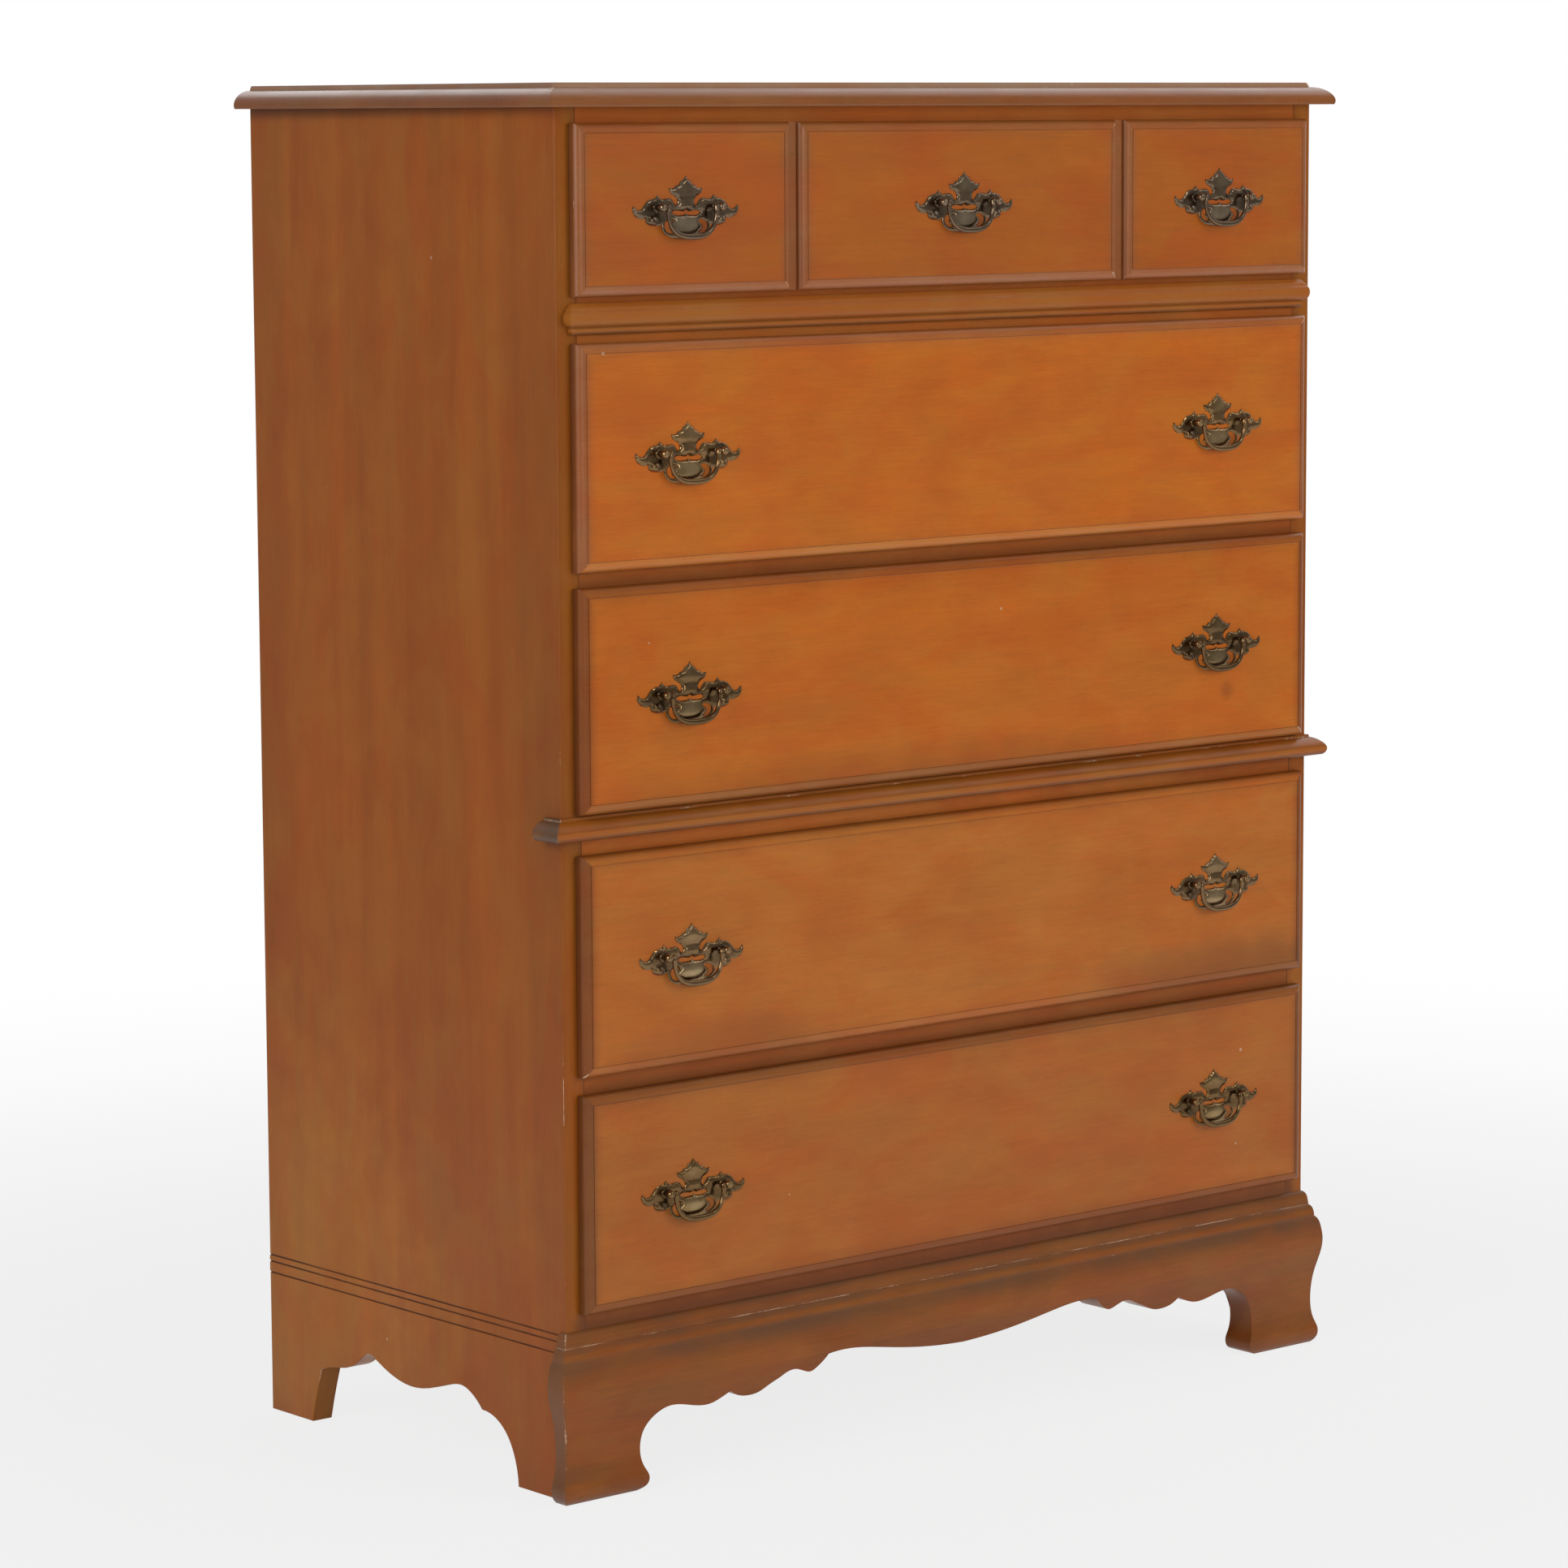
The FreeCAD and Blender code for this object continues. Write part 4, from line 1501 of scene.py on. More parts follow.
@dataclass
class PullPlate:
    """Pierced and embossed plate, made about the middle between its posts with its back on Y = 0."""

    half_width: float = 0.057
    rise: float = 0.026
    thickness: float = 0.0018
    wall: float = 0.0005
    rim: float = 0.0023
    ground_relief: float = 0.40
    rim_relief: float = 0.2
    pitch: float = 0.0009
    edge_gap: float = 0.45
    steps: int = 5
    smoothing: int = 5
    bosses: tuple[Boss, ...] = (
        Boss(0.0, -0.58, 0.32, 0.42, 0.0021, 0.75, 0.62),
        Boss(0.0, 0.62, 0.26, 0.34, 0.0011, 0.9, 0.42),
        Boss(0.0, 0.10, 0.17, 0.22, 0.0015, 0.9, 0.2),
        Boss(0.38, 0.08, 0.16, 0.24, 0.0011, 0.9),
        Boss(0.52, 0.33, 0.07, 0.13, 0.0012, 0.9),
        Boss(0.655, -0.46, 0.10, 0.17, 0.0026, 0.75),
        Boss(0.90, -0.15, 0.12, 0.20, 0.0010),
    )

    def half(self, shares: Shares) -> list[Pair]:
        """Right half of an outline."""
        return [(x, z) for x, z, _ in outline_run(shares, (self.half_width, self.rise), self.steps)]

    def loops(self) -> list[np.ndarray]:
        """The plate's outline and its piercings.

        Returns:
            The loops, each closed.
        """
        loops = []
        for shares in (PLATE_EDGE_SHARES, KIDNEY_SHARES):
            right = self.half(shares)
            loops.append(np.array(right + [(-x, z) for x, z in reversed(right[1:-1])]))
        crescent = self.half(CRESCENT_SHARES)[:-1]
        loops.append(np.array(crescent))
        loops.append(np.array([(-x, z) for x, z in crescent]))
        return loops

    def height(self, place: np.ndarray, depth: np.ndarray) -> np.ndarray:
        """Height of the plate's face above its back.

        Args:
            place: Points on the plate.
            depth: How far each point is from the nearest edge.

        Returns:
            The heights.
        """
        inward = np.clip(depth / self.rim, 0, 1)
        roll = np.sqrt(1 - (1 - inward) ** 2)
        height = self.wall + (self.thickness - self.wall) * roll
        for boss in self.bosses:
            for hand in (-1, 1) if boss.across else (1,):
                x = (place[:, 0] / self.half_width - hand * boss.across) / boss.wide
                z = (place[:, 1] / self.rise - boss.up) / boss.tall
                height += boss.height * np.clip(1 - x * x - z * z, 0, 1) ** boss.edge * roll
        return height

    def polish(self, place: np.ndarray) -> np.ndarray:
        """How far rubbing has brightened each point of the plate.

        Args:
            place: Points on the plate.

        Returns:
            The shares.
        """
        polish = np.zeros(len(place))
        for boss in self.bosses:
            x = (np.abs(place[:, 0]) / self.half_width - boss.across) / boss.wide
            z = (place[:, 1] / self.rise - boss.up) / boss.tall
            polish += boss.polish * np.sqrt(np.clip(1 - x * x - z * z, 0, 1))
        return polish

    def smoothed(self, heights: np.ndarray, triangles: Sequence[tuple[int, ...]], fixed: int) -> np.ndarray:
        """Evens out the heights between neighbouring points.

        Args:
            heights: Height of each point.
            triangles: Triangles between the points.
            fixed: How many of the first points keep their height.

        Returns:
            The new heights.
        """
        corners = np.array(triangles)
        first = np.concatenate([corners[:, i] for i in (0, 1, 2)])
        second = np.concatenate([corners[:, i] for i in (1, 2, 0)])
        for _ in range(self.smoothing):
            total = np.zeros(len(heights))
            count = np.zeros(len(heights))
            for here, there in ((first, second), (second, first)):
                np.add.at(total, here, heights[there])
                np.add.at(count, here, 1.0)
            even = (heights + total / np.maximum(count, 1)) / 2
            even[:fixed] = heights[:fixed]
            heights = even
        return heights

    def mesh(self) -> bpy.types.Mesh:
        """Builds the plate.

        Returns:
            The mesh.
        """
        loops = self.loops()
        edge = np.concatenate(loops)
        across = np.arange(-self.half_width, self.half_width, self.pitch)
        up = np.arange(-self.rise, self.rise, self.pitch * math.sqrt(3) / 2)
        grid = np.array([(x + self.pitch / 2 * (row % 2), z) for row, z in enumerate(up) for x in across])
        grid = grid[inside(grid, loops)]
        grid = grid[edge_distance(grid, loops) > self.pitch * self.edge_gap]
        face = np.concatenate([edge, grid])
        depth = edge_distance(face, loops)
        depth[: len(edge)] = 0.0
        triangles = filled(face, loops)
        heights = self.smoothed(self.height(face, depth), triangles, len(edge))
        draft = Draft("plate")
        for (x, z), height, inward, polish in zip(face, heights, depth, self.polish(face)):
            rolled = max(0.0, 1 - inward / self.rim)
            draft.point(x, -height, z, relief=self.ground_relief + self.rim_relief * rolled + polish)
        behind = [draft.point(x, 0.0, z) for x, z in edge]
        draft.faces += triangles
        draft.faces += [tuple(behind[i] for i in triangle) for triangle in filled(edge, loops)]
        start = 0
        for loop in loops:
            line = list(range(start, start + len(loop)))
            draft.bridge(line, [behind[i] for i in line], closed=True)
            start += len(loop)
        return draft.mesh()


def inside(points: np.ndarray, loops: Sequence[np.ndarray]) -> np.ndarray:
    """Tells which points lie within an outline and outside its piercings.

    Args:
        points: Points to test.
        loops: Closed loops, in any order.

    Returns:
        True for each point within.
    """
    hits = np.zeros(len(points), int)
    for loop in loops:
        ends = np.roll(loop, -1, axis=0)
        for (x0, z0), (x1, z1) in zip(loop, ends):
            spans = (z0 > points[:, 1]) != (z1 > points[:, 1])
            if z0 != z1:
                hits += spans & (points[:, 0] < x0 + (points[:, 1] - z0) / (z1 - z0) * (x1 - x0))
    return hits % 2 == 1


def edge_distance(points: np.ndarray, loops: Sequence[np.ndarray]) -> np.ndarray:
    """Distance from each point to the nearest edge of any loop.

    Args:
        points: Points to measure.
        loops: Closed loops.

    Returns:
        The distances.
    """
    nearest = np.full(len(points), np.inf)
    for loop in loops:
        for first, last in zip(loop, np.roll(loop, -1, axis=0)):
            along = last - first
            share = np.clip((points - first) @ along / (along @ along), 0, 1)
            nearest = np.minimum(nearest, np.linalg.norm(points - first - share[:, None] * along, axis=1))
    return nearest


def filled(points: np.ndarray, loops: Sequence[np.ndarray]) -> list[tuple[int, ...]]:
    """Triangles over an outline with piercings.

    Args:
        points: The loops' points first, in order, then any points within.
        loops: Closed loops.

    Returns:
        The triangles, by number of point.
    """
    millimetres = 1000.0
    edges = []
    start = 0
    for loop in loops:
        count = len(loop)
        edges += [(start + i, start + (i + 1) % count) for i in range(count)]
        start += count
    flat = [Vector(point) for point in points * millimetres]
    _, _, faces, sources, _, _ = delaunay_2d_cdt(flat, edges, [], 0, 1e-6)
    triangles = [tuple(sources[i][0] for i in face) for face in faces]
    middles = np.array([points[list(triangle)].mean(axis=0) for triangle in triangles])
    return [triangle for triangle, kept in zip(triangles, inside(middles, loops)) if kept]


@dataclass
class PullPost:
    """Turned post with a ball head, made on the plane Y = 0, with its shank and nut behind."""

    standoff: float
    tail: float
    seat: float
    ball_radius: float = 0.0036
    neck_radius: float = 0.0024
    collar_radius: float = 0.0046
    collar_height: float = 0.0018
    plate_thickness: float = 0.0016
    shank_radius: float = 0.002
    nut_width: float = 0.008
    nut_thickness: float = 0.0032
    tip_relief: float = 0.9
    ball_relief: float = 0.75
    collar_relief: float = 0.3
    nut_relief: float = 0.4
    sides: int = 28
    nut_sides: int = 6
    arc_steps: int = 10

    def turned_line(self) -> list[Pair]:
        """Outline that the post is turned to, from the back of its shank to the tip of its ball.

        Returns:
            Radius and distance in front of the field, at each place.
        """
        collar_front = self.plate_thickness + self.collar_height
        line = [(0.0, -self.tail), (self.shank_radius, -self.tail), (self.shank_radius, 0.0),
                (self.collar_radius * 0.9, 0.0), (self.collar_radius, self.plate_thickness + 0.0003)]
        for step in range(1, self.arc_steps // 2 + 1):
            angle = math.pi / 2 * step / (self.arc_steps // 2)
            reach = self.collar_radius - self.neck_radius
            line.append((self.neck_radius + reach * math.cos(angle),
                         collar_front - self.collar_height * 0.7 * (1 - math.sin(angle))))
        start = math.asin(self.neck_radius / self.ball_radius)
        for step in range(self.arc_steps + 1):
            angle = start + (math.pi - start) * step / self.arc_steps
            forward = self.standoff - self.ball_radius * math.cos(angle)
            line.append((self.ball_radius * math.sin(angle), forward))
        line[-1] = (0.0, self.standoff + self.ball_radius)
        return line

    def mesh(self) -> bpy.types.Mesh:
        """Builds the post and its nut.

        Returns:
            The mesh.
        """
        draft = Draft("post")
        line = self.turned_line()
        back = draft.point(0.0, -line[0][1], 0.0)
        tip = draft.point(0.0, -line[-1][1], 0.0, relief=self.tip_relief)
        rings = []
        for radius, forward in line[1:-1]:
            on_ball = forward > self.plate_thickness + self.collar_height
            relief = self.ball_relief if on_ball else self.collar_relief
            rings.append(draft.circle(radius, -forward, self.sides, relief))
        draft.skin(rings, closed=True)
        for end, ring in ((back, rings[0]), (tip, rings[-1])):
            draft.faces += [(end, ring[i], ring[(i + 1) % self.sides]) for i in range(self.sides)]
        self.nut(draft)
        return draft.mesh()

    def nut(self, draft: Draft) -> None:
        """Six-sided nut seated behind the drawer front, with chamfered corners.

        Args:
            draft: Mesh to add to.
        """
        corner = self.nut_width / math.sqrt(3)
        bevel = self.nut_thickness * 0.12
        loops = ((self.shank_radius, 0.0), (corner * 0.9, 0.0), (corner, bevel),
                 (corner, self.nut_thickness - bevel), (corner * 0.9, self.nut_thickness),
                 (self.shank_radius, self.nut_thickness))
        rings = [
            draft.circle(radius, self.seat + back, self.nut_sides, self.nut_relief) for radius, back in loops
        ]
        draft.skin(rings + rings[:1], closed=True)


class Trees:
    """Geometry node trees, each built once."""

    def __init__(self) -> None:
        """Builds the trees."""
        self.copies = self.copies_tree()
        self.rod = self.rod_tree()

    def start(self, name: str, inputs: dict[str, str]
              ) -> tuple[bpy.types.NodeTree, NodeKit, bpy.types.Node]:
        """Opens a tree with geometry in and out and the named inputs.

        Args:
            name: The tree's name.
            inputs: Socket type of each further input.

        Returns:
            The tree, its kit and its input node.
        """
        tree = bpy.data.node_groups.new(name, "GeometryNodeTree")
        tree.interface.new_socket("Geometry", in_out="INPUT", socket_type="NodeSocketGeometry")
        for label, kind in inputs.items():
            tree.interface.new_socket(label, in_out="INPUT", socket_type=kind)
        tree.interface.new_socket("Geometry", in_out="OUTPUT", socket_type="NodeSocketGeometry")
        kit = NodeKit(tree)
        return tree, kit, kit.add("NodeGroupInput")

    def end(self, kit: NodeKit, geometry: bpy.types.NodeSocket, finish: bpy.types.NodeSocket) -> None:
        """Realizes a tree's result and gives it its finish.

        Args:
            kit: The tree's kit.
            geometry: What the tree has made.
            finish: Material input.
        """
        real = kit.add("GeometryNodeRealizeInstances", {"Geometry": geometry}).outputs[0]
        dressed = kit.add("GeometryNodeSetMaterial", {"Geometry": real, "Material": finish}).outputs[0]
        kit.add("NodeGroupOutput", {"Geometry": dressed})

    def copies_tree(self) -> bpy.types.NodeTree:
        """One shape set down on every point.

        Returns:
            The tree.
        """
        inputs = {"Shape": "NodeSocketObject", "Finish": "NodeSocketMaterial"}
        tree, kit, given = self.start("set of fittings", inputs)
        shape = kit.add("GeometryNodeObjectInfo", {"Object": given.outputs["Shape"], "As Instance": True})
        stood = kit.add("GeometryNodeInstanceOnPoints", {
            "Points": given.outputs["Geometry"], "Instance": shape.outputs["Geometry"],
        })
        self.end(kit, stood.outputs["Instances"], given.outputs["Finish"])
        return tree

    def rod_tree(self) -> bpy.types.NodeTree:
        """Round rod along a curve, as thick as the curve's radius.

        Returns:
            The tree.
        """
        inputs = {"Sides": "NodeSocketInt", "Finish": "NodeSocketMaterial"}
        tree, kit, given = self.start("drawn rod", inputs)
        sides = given.outputs["Sides"]
        section = kit.add("GeometryNodeCurvePrimitiveCircle", {"Resolution": sides, "Radius": 1.0})
        swept = kit.add("GeometryNodeCurveToMesh", {
            "Curve": given.outputs["Geometry"],
            "Profile Curve": section.outputs["Curve"],
            "Scale": kit.add("GeometryNodeInputRadius").outputs[0],
            "Fill Caps": True,
        })
        self.end(kit, swept.outputs["Mesh"], given.outputs["Finish"])
        return tree

    def run(self, source: bpy.types.Object, tree: bpy.types.NodeTree, values: dict[str, object]
            ) -> bpy.types.Mesh:
        """Runs a tree on an object and settles the result.

        Args:
            source: Object that the tree starts from.
            tree: The tree.
            values: Its inputs by name.

        Returns:
            A plain mesh.
        """
        bpy.context.scene.collection.objects.link(source)
        modifier = source.modifiers.new(tree.name, "NODES")
        modifier.node_group = tree
        for item in tree.interface.items_tree:
            if item.in_out == "INPUT" and item.name in values:
                modifier[item.identifier] = values[item.name]
        return settled(source)


@dataclass
class Pulls:
    """Plates, posts and bails of one drawer."""

    body: str
    sides: tuple[str, ...]
    trees: Trees
    brass: bpy.types.Material
    plate: bpy.types.Mesh
    post_spacing: float = 0.064
    leg_half: float = 0.0261
    leg_radius: float = 0.0017
    grip_radius: float = 0.0026
    knuckle_radius: float = 0.0026
    bail_drop: float = 0.0245
    bow: float = 0.75
    pin_radius: float = 0.0015
    pin_reach: float = 0.0364
    bail_relief: float = 0.55
    bail_crisp: float = 50.0
    fitting_crisp: float = 38.0
    rod_sides: int = 20
    bail_steps: int = 40
    level: float = field(init=False)
    post_back: float = field(init=False)
    field_plane: float = field(init=False)
    block_back: float = field(init=False)
    pivot: float = field(init=False)
    places: list[float] = field(init=False)

    def __post_init__(self) -> None:
        """Takes the pulls' places from the frame."""
        low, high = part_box(self.body + "_posts")
        self.level = (low.z + high.z) / 2
        self.post_back = high.y
        self.field_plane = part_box(self.body + "_plates")[1].y
        self.block_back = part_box(self.body + "_front")[1].y
        self.places = []
        for side in self.sides:
            low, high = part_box(f"{self.body}_bail_{side}")
            self.places.append((low.x + high.x) / 2)
        self.pivot = (low.y + high.y) / 2

    def copies(self, name: str, shape: bpy.types.Mesh, places: Sequence[float]) -> bpy.types.Object:
        """Sets one shape down at several places across the drawer.

        Args:
            name: The new piece's name.
            shape: Shape to copy.
            places: X of each copy.

        Returns:
            The piece.
        """
        pattern = bpy.data.objects.new("pattern", shape)
        points = bpy.data.meshes.new("points")
        points.from_pydata([(x, self.field_plane, self.level) for x in places], [], [])
        source = bpy.data.objects.new("places", points)
        mesh = self.trees.run(source, self.trees.copies, {"Shape": pattern, "Finish": self.brass})
        bpy.data.objects.remove(pattern)
        return shown(name, mesh, self.brass, self.fitting_crisp)

    def bail_mesh(self, x: float) -> bpy.types.Mesh:
        """Drop handle between two posts: a swelling grip, a knuckle on each leg and a pin into each ball.

        Args:
            x: Middle of the pull.

        Returns:
            The mesh.
        """
        curve = bpy.data.curves.new("bail", "CURVE")
        curve.dimensions = "3D"
        crown = self.knuckle_radius
        line = [
            (-self.leg_half, crown, self.leg_radius * 0.45),
            (-self.leg_half, crown * 0.75, self.leg_radius * 1.1),
            (-self.leg_half, crown * 0.25, self.knuckle_radius),
        ]
        for step in range(1, self.bail_steps):
            angle = math.pi * step / self.bail_steps
            side, drop = math.cos(angle), math.sin(angle)
            place = -self.leg_half * math.copysign(abs(side) ** self.bow, side)
            level = -self.bail_drop * drop ** self.bow
            swell = self.leg_radius + (self.grip_radius - self.leg_radius) * drop ** 2
            knuckle = (self.knuckle_radius - self.leg_radius) * math.exp(-(level / (2 * crown)) ** 2)
            line.append((place, level, swell + knuckle))
        line += [(-place, level, radius) for place, level, radius in reversed(line[:3])]
        self.add_run(curve, [(x + place, self.level + level, radius) for place, level, radius in line])
        for hand in (-1, 1):
            ends = (hand * self.leg_half, hand * self.pin_reach)
            self.add_run(curve, [(x + end, self.level, self.pin_radius) for end in ends])
        source = bpy.data.objects.new("bail", curve)
        return self.trees.run(source, self.trees.rod, {"Sides": self.rod_sides, "Finish": self.brass})

    def add_run(self, curve: bpy.types.Curve, line: Sequence[tuple[float, float, float]]) -> None:
        """Adds one run to a curve in the plane of the pivots.

        Args:
            curve: The curve.
            line: X, height and radius of each point.
        """
        run = curve.splines.new("POLY")
        run.points.add(len(line) - 1)
        for point, (x, z, radius) in zip(run.points, line):
            point.co = (x, self.pivot, z, 1.0)
            point.radius = radius

    def build(self) -> None:
        """Builds and places every fitting of the drawer."""
        plates = self.copies(self.body + "_pull_plates", self.plate, self.places)
        placed(plates, self.body, "antique_brass", self.body + "_plates")
        post = PullPost(
            standoff=self.field_plane - self.pivot,
            tail=self.post_back - self.field_plane,
            seat=self.block_back - self.field_plane,
        )
        places = [x + hand * self.post_spacing / 2 for x in self.places for hand in (-1, 1)]
        posts = self.copies(self.body + "_pull_posts", post.mesh(), places)
        placed(posts, self.body, "antique_brass", self.body + "_posts")
        for side, x in zip(self.sides, self.places):
            node = f"{self.body}_bail_{side}"
            mesh = self.bail_mesh(x)
            relief = mesh.attributes.new(Paint.RELIEF.value, "FLOAT", "POINT")
            relief.data.foreach_set("value", [self.bail_relief] * len(mesh.vertices))
            face_outwards(mesh)
            piece = shown(node.replace("bail", "drop_handle"), mesh, self.brass, self.bail_crisp)
            placed(piece, node, "antique_brass", node)


@dataclass(frozen=True)
class Lamp:
    """Soft square lamp that looks at the middle of the object.

    It hangs so many degrees to the right of straight in front, degrees above level, and metres away.
    """

    name: str
    azimuth: float
    elevation: float
    distance: float
    size: float
    power: float
    mirrored: bool = True

    def build(self) -> None:
        """Hangs the lamp."""
        light = bpy.data.lights.new(self.name, "AREA")
        light.shape = "SQUARE"
        light.size = self.size
        light.energy = self.power
        lamp = bpy.data.objects.new(self.name, light)
        turn, rise = math.radians(self.azimuth), math.radians(self.elevation)
        away = Vector((math.sin(turn) * math.cos(rise), -math.cos(turn) * math.cos(rise), math.sin(rise)))
        middle = Vector((0.0, 0.0, (CAD_BOX[0][2] + CAD_BOX[1][2]) / 2))
        lamp.location = middle + away * self.distance
        lamp.rotation_euler = away.to_track_quat("Z", "Y").to_euler()
        lamp.visible_glossy = self.mirrored
        bpy.context.scene.collection.objects.link(lamp)


@dataclass
class Studio:
    """Pale floor, soft light and the photograph's camera."""

    lamps: tuple[Lamp, ...] = (
        Lamp("key", 20.0, 16.0, 3.6, 1.6, 46.0, mirrored=False),
        Lamp("front", -10.0, 10.0, 3.4, 0.6, 10.0),
        Lamp("left", -78.0, 22.0, 3.8, 1.8, 66.0),
        Lamp("high right", 95.0, 48.0, 3.4, 2.4, 22.0),
        Lamp("high back", 173.0, 41.0, 3.4, 1.6, 11.0),
        Lamp("glint", 12.0, 42.0, 3.4, 0.4, 6.0),
    )
    lens: float = 120.11
    sensor: float = 36.0
    eye: tuple[float, float, float] = (-3.0955, -3.6121, 1.1648)
    yaw: float = -40.36479
    pitch: float = -7.29834
    roll: float = -0.27584
    floor_radius: float = 3.2
    floor_sides: int = 64
    floor_tone: float = 0.88
    floor_glow: float = 0.885
    glow_fade: Pair = (0.7, 2.6)
    shadow_fade: Pair = (0.6, 1.9)
    shadow_cover: float = 0.92
    mirror_fade: Pair = (1.0, 3.1)
    ambient: float = 0.30
    room: float = 0.35
    room_fade: Pair = (0.1, 0.8)

    def build(self) -> None:
        """Sets up the floor, the lights, the world and the camera."""
        self.floor()
        self.world()
        for lamp in self.lamps:
            lamp.build()
        self.camera()
        bpy.context.scene.view_settings.view_transform = "Standard"

    def floor(self) -> None:
        """Plain pale floor that fades to white away from the object."""
        draft = Draft("floor")
        turns = [2 * math.pi * i / self.floor_sides for i in range(self.floor_sides)]
        reach = self.floor_radius
        draft.cap([draft.point(reach * math.cos(turn), reach * math.sin(turn), 0.0) for turn in turns])
        material, kit, shader = new_finish("pale floor")
        shader.inputs["Base Color"].default_value = (self.floor_tone, self.floor_tone, self.floor_tone, 1.0)
        shader.inputs["Roughness"].default_value = 0.9
        shader.inputs["Specular IOR Level"].default_value = 0.1
        radius = kit.add("ShaderNodeVectorMath", operation="LENGTH")
        kit.feed(radius.inputs[0], kit.here())
        away = radius.outputs["Value"]
        near = (self.floor_glow, self.floor_glow, self.floor_glow)
        white = kit.mix(kit.ramp(away, *self.glow_fade), near, (1.0, 1.0, 1.0))
        glow = kit.add("ShaderNodeEmission", {"Color": white, "Strength": 1.0})
        rays = kit.add("ShaderNodeLightPath").outputs
        straight = kit.maths("MAXIMUM", rays["Is Camera Ray"], rays["Is Transmission Ray"])
        cover = kit.ramp(away, *self.shadow_fade, self.shadow_cover, 1.0)
        straight = kit.maths("MULTIPLY", straight, cover)
        mirrored = kit.maths("MULTIPLY", rays["Is Glossy Ray"], kit.ramp(away, *self.mirror_fade, 1.0, 0.0))
        blend = kit.add("ShaderNodeMixShader")
        kit.feed(blend.inputs[0], kit.maths("MAXIMUM", straight, mirrored))
        kit.feed(blend.inputs[1], shader.outputs[0])
        kit.feed(blend.inputs[2], glow.outputs[0])
        kit.feed(material.node_tree.nodes["Material Output"].inputs["Surface"], blend.outputs[0])
        draft.piece(material)

    def world(self) -> None:
        """White backdrop, with the open room on the camera's side and overhead dimmer in reflections."""
        world = bpy.data.worlds.new("studio")
        world.use_nodes = True
        kit = NodeKit(world.node_tree)
        background = world.node_tree.nodes["Background"]
        rays = kit.add("ShaderNodeLightPath").outputs
        towards = kit.add("ShaderNodeVectorMath", operation="DOT_PRODUCT")
        kit.feed(towards.inputs[0], kit.add("ShaderNodeTexCoord").outputs["Generated"])
        yaw = math.radians(self.yaw)
        kit.feed(towards.inputs[1], (-math.sin(yaw), math.cos(yaw), 0.0))
        backdrop = kit.ramp(towards.outputs["Value"], *self.room_fade, self.room, 1.0)
        mirrored = kit.maths("MULTIPLY", rays["Is Glossy Ray"], backdrop)
        straight = kit.maths("MAXIMUM", rays["Is Camera Ray"], rays["Is Transmission Ray"])
        soft = kit.maths("MULTIPLY", rays["Is Diffuse Ray"], self.ambient)
        strength = kit.maths("MAXIMUM", straight, kit.maths("MAXIMUM", mirrored, soft))
        kit.feed(background.inputs["Color"], (1.0, 1.0, 1.0))
        kit.feed(background.inputs["Strength"], strength)
        bpy.context.scene.world = world

    def camera(self) -> None:
        """Camera at the photograph's place and angle."""
        data = bpy.data.cameras.new("camera")
        data.sensor_width = self.sensor
        data.lens = self.lens
        data.clip_end = 100.0
        camera = bpy.data.objects.new("camera", data)
        turn = Matrix.Rotation(math.radians(self.yaw), 4, "Z")
        tilt = Matrix.Rotation(math.radians(90.0 + self.pitch), 4, "X")
        level = Matrix.Rotation(math.radians(self.roll), 4, "Z")
        camera.matrix_world = Matrix.Translation(self.eye) @ turn @ tilt @ level
        bpy.context.scene.collection.objects.link(camera)
        bpy.context.scene.camera = camera


def dress(finish: bpy.types.Material, *nodes: str) -> None:
    """Gives a finish to nodes that keep their own shape.

    Args:
        finish: The material.
        nodes: Names of the nodes.
    """
    for name in nodes:
        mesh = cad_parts[name].data
        if not mesh.materials:
            mesh.materials.append(finish)
        for i in range(len(mesh.materials)):
            mesh.materials[i] = finish
        LOG.info("%s keeps its shape and takes %s", name, finish.name)


# Tone of the stain on the mouldings.
RIM: Colour = (0.205, 0.062, 0.010)

EDGE_WOOD = StainedWood(
    "stained moulding", RIM, (0.224, 0.069, 0.008), Grain.ACROSS, spread=0.3, cloud=1.0, sheen=0.26,
    shade=(0.095, 0.047, 0.023), buffed=(0.30, 0.098, 0.014), rubbed=(0.40, 0.26, 0.17), marks=0.8,
)
TOP_WOOD = StainedWood(
    "stained top", RIM, (0.205, 0.070, 0.014), Grain.ACROSS, sheen=0.42, gloss=(0.26, 0.36), wear_reach=0.7,
    buffed=(0.30, 0.18, 0.11),
)
BRASS = AgedMetal(
    "antique brass", (0.085, 0.045, 0.018), (0.275, 0.150, 0.045), (0.50, 0.33, 0.13), (0.17, 0.28),
)
STEEL = AgedMetal("dull steel", (0.10, 0.10, 0.10), (0.28, 0.28, 0.28), (0.5, 0.5, 0.5), (0.35, 0.5))
PALE_WOOD = BareWood("pale wood, grain across", (0.60, 0.43, 0.25), (0.40, 0.26, 0.13), Grain.ACROSS)
BLOCK_WOOD = BareWood("pale wood, grain upright", (0.52, 0.36, 0.20), (0.34, 0.22, 0.11), Grain.UPRIGHT)
THIN_PLY = BareWood("thin drawer ply", (0.56, 0.38, 0.21), (0.38, 0.24, 0.12), Grain.ACROSS, 1.8, 0.6)
BACK_BOARD = PressedBoard("pressed back board", (0.30, 0.17, 0.085), (0.17, 0.09, 0.045))

